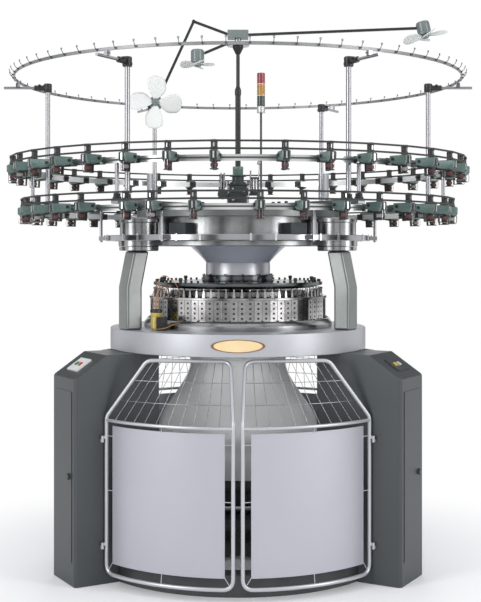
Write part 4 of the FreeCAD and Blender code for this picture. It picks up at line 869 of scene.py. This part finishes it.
cast_dark = finish("dark casting", (0.040, 0.046, 0.048), 0.45, 0.38, vary=0.25, scale=12.0, grain=0.3,
                   grain_scale=350)
case_low, case_top, motor_y, motor_steps = cover_top + hair, 2.031, -0.512, 48
bracket_y, bracket_top, side_x = -0.535, 1.984, 0.086
belt_wheels = ((-0.024, 1.953, 0.028, 0.008), (0.030, 1.995, 0.020, 0.006), (-0.026, 2.006, 0.012, 0.005))


def motor_band(low, high, reach, fin=0.0):
    """One band of the motor from low to high, with every second point standing out by fin."""
    spokes = [(a, reach + fin * (k % 2)) for k, a in enumerate(circle(motor_steps))]
    prism([(math.sin(a) * r, motor_y - math.cos(a) * r, low) for a, r in spokes], (0, 0, high - low))


def upright(x, y, low, high, radius, sides=12):
    """A round bar that stands up."""
    pipe([(x, y, low), (x, y, high)], radius, sides)


def level_bar(x, z, near, far, radius, sides=24):
    """A round bar that runs level from front to back."""
    pipe([(x, near, z), (x, far, z)], radius, sides)


for angle in (-36.0, 36.0):
    brick(-0.055, 0.055, -0.540, -0.455, flange_high + hair, 1.837, angle)
made("gear_case_covers", cast_dark, ["gear_cases"], bevel=0.004)
outline_block(0.046, ((-0.470, case_low), (-0.554, case_low), (-0.554, 1.995), (-0.545, case_top),
                      (-0.470, case_top)))
brick(-0.062, 0.062, -0.560, -0.470, case_low, 1.925)
brick(-0.056, 0.056, -0.552, -0.474, 2.0235, case_top)
made("drive_housing", cast_dark, bevel=0.003)
motor_band(2.076, 2.108, 0.024, 0.003)
motor_band(2.108, 2.121, 0.027)
made("drive_motor_case", green_enamel, ["drive_motor"], smooth=20)
for low, high, reach in ((case_top, 2.042, 0.042), (2.042, 2.070, 0.030), (2.070, 2.076, 0.042)):
    motor_band(low, high, reach)
brick(-0.094, 0.108, -0.546, -0.524, 1.972, bracket_top)
level_bar(-0.078, 1.978, -0.548, -0.566, 0.026)
upright(side_x, bracket_y, bracket_top, 1.996, 0.022, 20)
upright(side_x, bracket_y, 2.056, 2.066, 0.022, 20)
for x in (-0.074, 0.064):
    brick(x - 0.010, x + 0.010, bracket_y, -0.470, case_low, 1.934)
made("drive_brackets", cast_dark, bevel=0.001)
for x, z, r, end in belt_wheels:
    level_bar(x, z, -0.5545, -0.5575, r)
    level_bar(x, z, -0.5575, -0.5730, r * 0.86)
    level_bar(x, z, -0.5730, -0.5760, r)
made("drive_belt_wheels", black_metal, ["drive_wheels"])
for x, z, r, end in belt_wheels:
    level_bar(x, z, -0.5760, -0.5790, end, 12)
for x in (-0.052, 0.052):
    upright(x, -0.545, 1.925, 2.023, 0.005)
    upright(x, -0.545, case_top, 2.045, 0.007, 6)
for x, top in ((-0.086, 2.088), (-0.070, 2.088), (0.064, 2.100)):
    upright(x, bracket_y, bracket_top, top, 0.0042)
upright(side_x, bracket_y, 1.996, 2.056, 0.017, 24)
pipe([(0.104, bracket_y, bracket_top), (0.107, bracket_y, 2.130)], 0.0028, 10)
lathe(((0.0, 2.128), (0.006, 2.129), (0.010, 2.135), (0.010, 2.143), (0.006, 2.149), (0.0, 2.150)), 16,
      (0.107, bracket_y))
made("drive_spindles", chrome)

# ---------------- fan mast
# Black steel tube, stepped to a thinner one at a collar, with a turned cone at the top
# that the fan carrier rests and turns on.

lathe(((0.0, cover_top), (0.032, cover_top), (0.032, 1.921), (0.015, 1.923), (0.015, 2.553), (0.0175, 2.556),
       (0.0175, 2.585), (0.015, 2.590), (0.0115, 2.600), (0.0100, 2.604), (0.0100, 2.780), (0.0135, 2.783),
       (0.0290, 2.815), (0.0300, 2.8254), (0.0, 2.8254)), 32)
made("fan_mast", black_metal, ["fan_post"])

# ---------------- fan carrier
# A gear motor's box turns slowly on the mast and swings three bar arms round, each with
# a fan motor at its end, to keep lint off the feeders.

fan_green = finish("grey green enamel", (0.175, 0.205, 0.20), 0.25, 0.34, vary=0.06, scale=8.0, grain=0.06)
disc_silver = finish("fan disc", (0.36, 0.37, 0.38), 0.9, 0.26, vary=0.04, grain=0.06, around=True)
lean = deg(12.8)
fans = (
    ("long_fan", (-0.455, 0.0, 2.510), (0.0, -1.0, 0.0), 0.152),
    ("short_fan", (-0.225, 0.0, 2.772), (0.0, 0.0, -1.0), 0.100),
    ("right_fan", (1.030, 0.0, 2.928), (math.sin(lean), 0.0, -math.cos(lean)), 0.130),
)


def aimed(verts, place, axis):
    """Carries points from an upright axis at the origin to another place and direction."""
    bmesh.ops.rotate(shape, verts=verts, cent=(0, 0, 0),
                     matrix=Vector((0, 0, 1)).rotation_difference(Vector(axis)).to_matrix())
    bmesh.ops.translate(shape, verts=verts, vec=place)


brick(-0.058, 0.058, -0.042, 0.042, 2.868, 2.9115)
for name, place, axis, reach in fans:
    before = set(shape.verts)
    lathe(((0.0, -0.037), (0.028, -0.037), (0.034, -0.033), (0.036, -0.028), (0.036, 0.022), (0.038, 0.024),
           (0.038, 0.034), (0.034, 0.037), (0.0, 0.037)), 32)
    for angle in every(12, 15.0):
        brick(-0.0012, 0.0012, 0.035, 0.038, -0.026, 0.020, angle)
    aimed([v for v in shape.verts if v not in before], place, axis)
made("carrier_box_and_motors", fan_green, ["fan_motors"], bevel=0.0015, body="fan_carrier")
lathe(((0.0085, 2.826), (0.060, 2.826), (0.062, 2.828), (0.062, 2.834), (0.060, 2.836), (0.018, 2.8365),
       (0.018, 2.868), (0.0085, 2.868)), 48)
made("carrier_disc", disc_silver, body="fan_carrier")
softened("fan_arms", "carrier_arms", black_metal, 0.004)
level_bar(-0.246, 2.964, -0.014, 0.014, 0.0085, 16)
for (name, (x, y, z), axis, reach), rise, r in zip(fans, (0.049, 0.0, 0.0), (0.012, 0.010, 0.010)):
    level_bar(x, z + rise, y - 0.012, y + 0.012, r, 12)
made("carrier_knuckles", black_metal, body="fan_carrier")

# ---------------- fans
# Four broad pitched blades moulded in white on a short hub. The blades are thin, hollow
# on their working face and rounded at the tips.

blade_white = finish("white moulding", (0.70, 0.72, 0.70), 0.0, 0.42, vary=0.03, scale=5.0, grain=0.04)
blade_root, round_from, hub_seat = 0.017, 0.72, 0.0373


def swell(share, reached):
    """Rises softly from 0 to 1 as the share grows to where the full width is reached."""
    return math.sin(math.pi / 2 * min(1.0, share / reached))


for name, place, axis, reach in fans:
    seat, body = Vector(place) + Vector(axis) * hub_seat, name + "_body"
    for angle in every(4):
        rows = []
        for share in shares(12):
            r = blade_root + (0.965 * reach - blade_root) * share
            tip = math.sqrt(max(0.0, 1.0 - (max(0.0, share - round_from) / 0.285) ** 2))
            lead = (-0.010 - 0.37 * reach * swell(share, 0.5) + 0.05 * reach * share) * tip
            trail = (0.010 + 0.24 * reach * swell(share, 0.7)) * tip
            wide = trail - lead
            rows.append([vertex((r, lead + wide * v, 0.10 * wide * (v - v * v))) for v in shares(8)])
        for row, following in zip(rows, rows[1:]):
            for k in range(8):
                face((row[k], row[k + 1], following[k + 1], following[k]))
        blade = [v for row in rows for v in row]
        turned(blade, deg(22), "X")
        turned(blade, deg(angle))
    bmesh.ops.translate(shape, verts=shape.verts, vec=(0, 0, 0.011))
    aimed(list(shape.verts), seat, axis)
    blades = made(name + "_blades", blade_white, [name], smooth=60, body=body)
    wall = blades.modifiers.new("wall", "SOLIDIFY")
    wall.thickness = 0.0022
    wall.offset = 0.0
    lathe(((0.0052, 0.0), (0.018, 0.0), (0.020, 0.002), (0.020, 0.018), (0.015, 0.022), (0.0052, 0.022)), 28)
    aimed(list(shape.verts), seat, axis)
    made(name + "_hub", fan_green, body=body)
    hoop(0.0, 0.005, 0.0365, 0.0628, 12)
    aimed(list(shape.verts), place, axis)
    made(name + "_shaft", chrome, body="fan_carrier")

# ---------------- signal lamp
# Stacked lamp on a thin tube: silver base, a dark, an amber and a red lens, with a pale
# ring between each. The lenses are smooth and glossy.

lens_dark = finish("dark lens", (0.028, 0.045, 0.042), 0.0, 0.18, vary=0.1, coat=0.5)
lens_amber = finish("amber lens", (0.36, 0.185, 0.035), 0.0, 0.20, vary=0.1, coat=0.5)
lens_red = finish("red signal lens", (0.24, 0.030, 0.038), 0.0, 0.20, vary=0.1, coat=0.5)
lens_ring = finish("pale ring", (0.66, 0.60, 0.48), 0.1, 0.3)
lamp_place, lamp_levels = (0.128, 0.0), (2.456, 2.490, 2.552, 2.616, 2.678)
for name, low, high, material, stands_for in zip(
    ("lamp_base", "lamp_dark", "lamp_amber", "lamp_red_lens"), lamp_levels, lamp_levels[1:],
    (hub_silver, lens_dark, lens_amber, lens_red), (["signal_lamp"], (), (), ()),
):
    lathe(((0.0, low), (0.0215, low), (0.0222, low + 0.002), (0.0222, high - 0.003), (0.021, high - 0.0005),
           (0.0, high - 0.0005)), 36, lamp_place)
    made(name, material, stands_for)
for z in lamp_levels[1:-1]:
    hoop(0.015, 0.0225, z - 0.002, z + 0.002, 36, lamp_place)
made("lamp_rings", lens_ring)
lathe(((0.0, cover_top), (0.022, cover_top), (0.022, 1.918), (0.006, 1.920), (0.006, 2.457), (0.0, 2.457)),
      20, lamp_place)
made("lamp_tube", base_dark)

# ---------------- oiler
# Yellow oil cup on the table beside a dark sensor box. Stiff amber pipes loop from the
# cup's cap over the rim of the dial plate down to the cam ring.

oil_yellow = finish("oil cup", (0.48, 0.36, 0.06), 0.0, 0.25, vary=0.12, scale=30.0, coat=0.4)
pipe_amber = finish("amber pipe", (0.36, 0.16, 0.07), 0.0, 0.30, vary=0.15)
cup_turn, cup_top, oiler_low = -50.0, 1.366, table_top + hair
cup = polar(0.560, cup_turn)
lathe(((0.0, oiler_low), (0.027, oiler_low), (0.029, 1.278), (0.029, 1.340), (0.027, 1.344), (0.029, 1.348),
       (0.029, cup_top), (0.0, cup_top)), 36, cup)
made("oil_cup", oil_yellow, ["oiler"])
lathe(((0.0, cup_top), (0.030, cup_top), (0.032, 1.368), (0.032, 1.381), (0.028, 1.385), (0.0, 1.385)), 36,
      cup)
brick(-0.021, 0.021, -0.591, -0.549, oiler_low, 1.345, -44.0)
made("oiler_cap_and_sensor", black_plastic, bevel=0.002)


def smooth_line(*places, steps=6):
    """A soft line through places given as radius, angle and height."""
    points = [polar(*place) for place in places]
    points = [points[0] * 2 - points[1]] + points + [points[-1] * 2 - points[-2]]
    line = []
    for a, b, c, d in zip(points, points[1:], points[2:], points[3:]):
        for t in shares(steps)[:-1]:
            line.append(0.5 * ((2 * b) + (c - a) * t + (2 * a - 5 * b + 4 * c - d) * t * t
                               + (3 * b - a - 3 * c + d) * t ** 3))
    return line + [points[-2]]


pipe(smooth_line((0.560, cup_turn, 1.384), (0.560, cup_turn, 1.445), (0.532, cup_turn, 1.492),
                 (0.497, cup_turn, 1.500), (0.479, cup_turn, 1.476), (0.477, cup_turn, 1.446)), 0.003, 10)
for start, stop, rise in ((-52.5, -40.0, 1.560), (-47.5, -58.0, 1.535)):
    pipe(smooth_line((0.566, start, 1.384), (0.566, start, 1.460), (0.545, (start + stop) / 2, rise),
                     (0.510, stop, 1.520), (0.4765, stop, 1.470), (0.4765, stop, 1.446)), 0.0018, 8)
pipe(smooth_line((0.580, -51.0, 1.290), (0.600, -47.0, 1.282), (0.592, -40.0, 1.290), (0.560, -36.0, 1.310),
                 (0.5205, -35.0, 1.312)), 0.0022, 8)
made("oil_pipes", pipe_amber)

# ---------------- take-down
# A frame of bent side plates hangs under the gear ring and turns on the floor pivot. Two
# rubbered rollers draw the fabric down, and the cloth winds up on the bar below.

frame_grey = finish("frame grey", (0.095, 0.110, 0.120), 0.4, 0.42, vary=0.08, grain=0.15, grain_scale=600)
rubber = finish("dark rubber", (0.030, 0.027, 0.027), 0.0, 0.70, vary=0.15, grain=0.5, grain_scale=450)
roller_end, stub_end, nip_z = 0.4994, 0.512, 0.384
softened("takedown_frame", "takedown_side_plates", frame_grey, 0.002)
for name, node, y, z, reach, material, slot in (
    ("front_nip_roller", "front_roller", -0.0361, nip_z, 0.035, rubber, "roller_rubber"),
    ("rear_nip_roller", "rear_roller", 0.0361, nip_z, 0.035, rubber, "roller_rubber"),
    ("cloth_bar", "winding_bar", 0.0, 0.262, 0.020, bright_steel, "bright_steel"),
):
    pipe([(-roller_end, y, z), (roller_end, y, z)], reach, 40)
    for side in (-1, 1):
        pipe([(side * roller_end, y, z), (side * stub_end, y, z)], 0.0119, 24)
    made(name, material, [node], body=node + "_body")

# ---------------- fabric
# White jersey, knitted as a tube. It is drawn in under the cylinder, spread flat over
# its width and pulled into the nip of the rollers, with soft folds down its length.

jersey = finish("white jersey", (0.88, 0.89, 0.88), 0.0, 0.88, vary=0.03, scale=5.0, grain=0.5,
                grain_scale=1400, stretch=(1.0, 1.0, 0.35))
jersey.node_tree.nodes["Principled BSDF"].inputs["Sheen Weight"].default_value = 0.25
tube_sides, row_height, nip_half, tube_end = 144, 0.02, 0.0007, 0.370
tube_levels = (
    (1.427, 0.3603, 0.3603), (1.2753, 0.3603, 0.3603), (1.1753, 0.3290, 0.3290), (1.090, 0.262, 0.256),
    (0.690, 0.452, 0.128), (0.540, 0.452, 0.058), (0.436, 0.452, 0.009), (0.398, 0.452, nip_half),
    (tube_end, 0.452, nip_half),
)
rows = []
for (z0, x0, y0), (z1, x1, y1) in zip(tube_levels, tube_levels[1:]):
    steps = max(1, round((z0 - z1) / row_height))
    for t in shares(steps)[:None if z1 == tube_end else -1]:
        z = z0 + (z1 - z0) * t
        ease = t * t * (3 - 2 * t) if z0 > 0.68 and z1 < 1.2 else t
        half_x, half_y = x0 + (x1 - x0) * ease, y0 + (y1 - y0) * ease
        slack = 0.004 * max(0.0, math.sin(math.pi * min(1.0, max(0.0, (1.13 - z) / 0.66))))
        row = []
        for a in circle(tube_sides):
            wave = (0.5 + 0.5 * math.sin(9 * a + 5.0 * z)) * (0.4 + 0.6 * abs(math.sin(a)))
            fold = 1.0 - slack / 0.3 * wave
            row.append(vertex((half_x * math.cos(a) * fold, half_y * math.sin(a) * fold, z)))
        rows.append(row)
skin(rows)
fabric = made("jersey_tube", jersey, ["fabric_tube"], smooth=60, body="cylinder_body")

# ---------------- doors
# Three pairs of doors close the spaces between the legs. Each is one bent tube with a
# rail, a curved sheet panel on small straps, and a guard of thin wires that leans in.

door_silver = finish("door tube silver", (0.50, 0.51, 0.535), 0.55, 0.30, vary=0.03, scale=4.0,
                     grain_scale=30)
panel_silver = finish("door panel silver", (0.44, 0.445, 0.49), 0.45, 0.42, vary=0.025, scale=1.6, grain=0.08,
                      grain_scale=900)
door_r, door_low, rail_z, bend_z, door_top = 0.880, 0.060, 0.835, 0.852, 1.138
inner_side, outer_side, panel_first, panel_last = 1.5, 49.1, 4.2, 46.7
middle, strap_r, wire_r = (inner_side + outer_side) / 2, 0.0022, 0.0016
top_outer, top_inner = polar(0.7596, 37.1, door_top), polar(0.658, 3.14, door_top)
hinge_line, hinge_levels = polar(door_r, outer_side) + polar(0.022, 60.0), (0.200, 0.740)
hinge_reach, hinge_gap = 0.0078, 0.0005


def rounded(corners, radius, steps=6):
    """A closed line with an arc in place of each sharp corner."""
    line = []
    for i, corner in enumerate(corners):
        before, after = corners[i - 1] - corner, corners[(i + 1) % len(corners)] - corner
        turn = math.pi - before.angle(after)
        if turn < deg(9):
            line.append(corner)
            continue
        cut = min(radius * math.tan(turn / 2), 0.45 * before.length, 0.45 * after.length)
        start, end = corner + before.normalized() * cut, corner + after.normalized() * cut
        for t in shares(steps):
            line.append(start.lerp(corner, t).lerp(corner.lerp(end, t), t))
    return line


def arc_line(first, last, z, count):
    """Points along the doors' curve from one angle to another."""
    return [polar(door_r, first + (last - first) * share, z) for share in shares(count)]


def on_guard(share, height):
    """A place on the leaning guard: share across it from the inner side, height up it."""
    foot = polar(door_r, inner_side + (outer_side - inner_side) * share, rail_z)
    return foot.lerp(top_inner.lerp(top_outer, share), height)


def placed(verts, mirror, angle):
    """Turns points of the right-hand front door to where another door hangs."""
    if mirror:
        for v in verts:
            v.co.x = -v.co.x
    turned(verts, deg(angle))


def hinge_web(start, end, half, low, high):
    """A flat bar between two places, square to the floor."""
    across = (end - start).normalized().cross(Vector((0, 0, 1))) * half
    prism([(p.x, p.y, low) for p in (start + across, end + across, end - across, start - across)],
          (0, 0, high - low))


for node, mirror, angle in (
    ("front_door_right", False, 0.0), ("front_door_left", True, 0.0), ("rear_door_1", False, 120.0),
    ("rear_door_2", True, 120.0), ("rear_door_3", False, 240.0), ("rear_door_4", True, 240.0),
):
    body = node + "_body"
    corners = [polar(door_r, inner_side, door_low)] + arc_line(inner_side + 8, outer_side - 8, door_low, 14)
    corners += [polar(door_r, outer_side, door_low), polar(door_r, outer_side, bend_z), top_outer, top_inner,
                polar(door_r, inner_side, bend_z)]
    pipe(rounded(corners, 0.055), 0.010, 14, closed=True)
    pipe(arc_line(inner_side, outer_side, rail_z, 20), 0.0085, 12)
    for z in hinge_levels:
        hoop(0.0043, hinge_reach, z + hinge_gap, z + 0.016, 16, hinge_line)
        hinge_web(polar(0.8865, outer_side), hinge_line - polar(0.006, 60.0), 0.005, z + hinge_gap, z + 0.016)
    for z in (0.480, 0.755):
        for edge, tube in ((panel_first, inner_side), (panel_last, outer_side)):
            pipe([polar(0.869, edge, z), polar(door_r, tube, z)], strap_r, 6)
    for edge, low, tube, high in (
        (middle, 0.118, middle, door_low), (middle, 0.800, middle, rail_z),
        (4.4, 0.120, inner_side + 0.9, 0.074), (46.5, 0.120, outer_side - 0.9, 0.074),
    ):
        pipe([polar(0.8705, edge, low), polar(door_r, tube, high)], strap_r, 6)
    placed(shape.verts, mirror, angle)
    made(node + "_tube", door_silver, [node], smooth=50, body=body)
    for share in shares(11)[1:-1]:
        pipe([on_guard(share, 0.02), on_guard(share, 0.985)], wire_r, 6)
    for height in (1 / 3, 2 / 3):
        pipe([on_guard(share, height) for share in shares(16)], wire_r, 6)
    placed(shape.verts, mirror, angle)
    made(node + "_guard", chrome, smooth=70, body=body)
    section = ((0.868, 0.112), (0.8698, 0.112), (0.8698, 0.808), (0.868, 0.808))
    rows = [[vertex(polar(r, a, z)) for r, z in section]
            for a in (panel_first + (panel_last - panel_first) * share for share in shares(28))]
    skin(rows)
    face(rows[0])
    face(rows[-1][::-1])
    placed(shape.verts, mirror, angle)
    made(node + "_panel", panel_silver, smooth=40, body=body)

# ---------------- door hinges
# A fixed steel lug on the leg under each lug of the door, with the pin that holds both.
# They are painted silver like the doors.

to_leg = polar(0.0160, 150.0)
for angle in every(3):
    for mirror in (False, True):
        before = set(shape.verts)
        for z in hinge_levels:
            hoop(0.0, hinge_reach, z - 0.016, z, 16, hinge_line)
            hoop(0.0, 0.0038, z, z + 0.0158, 12, hinge_line)
            hinge_web(hinge_line, hinge_line + to_leg, 0.006, z - 0.015, z - 0.001)
        placed([v for v in shape.verts if v not in before], mirror, angle)
made("hinge_lugs", door_silver, ["door_hinges"])

low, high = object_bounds()
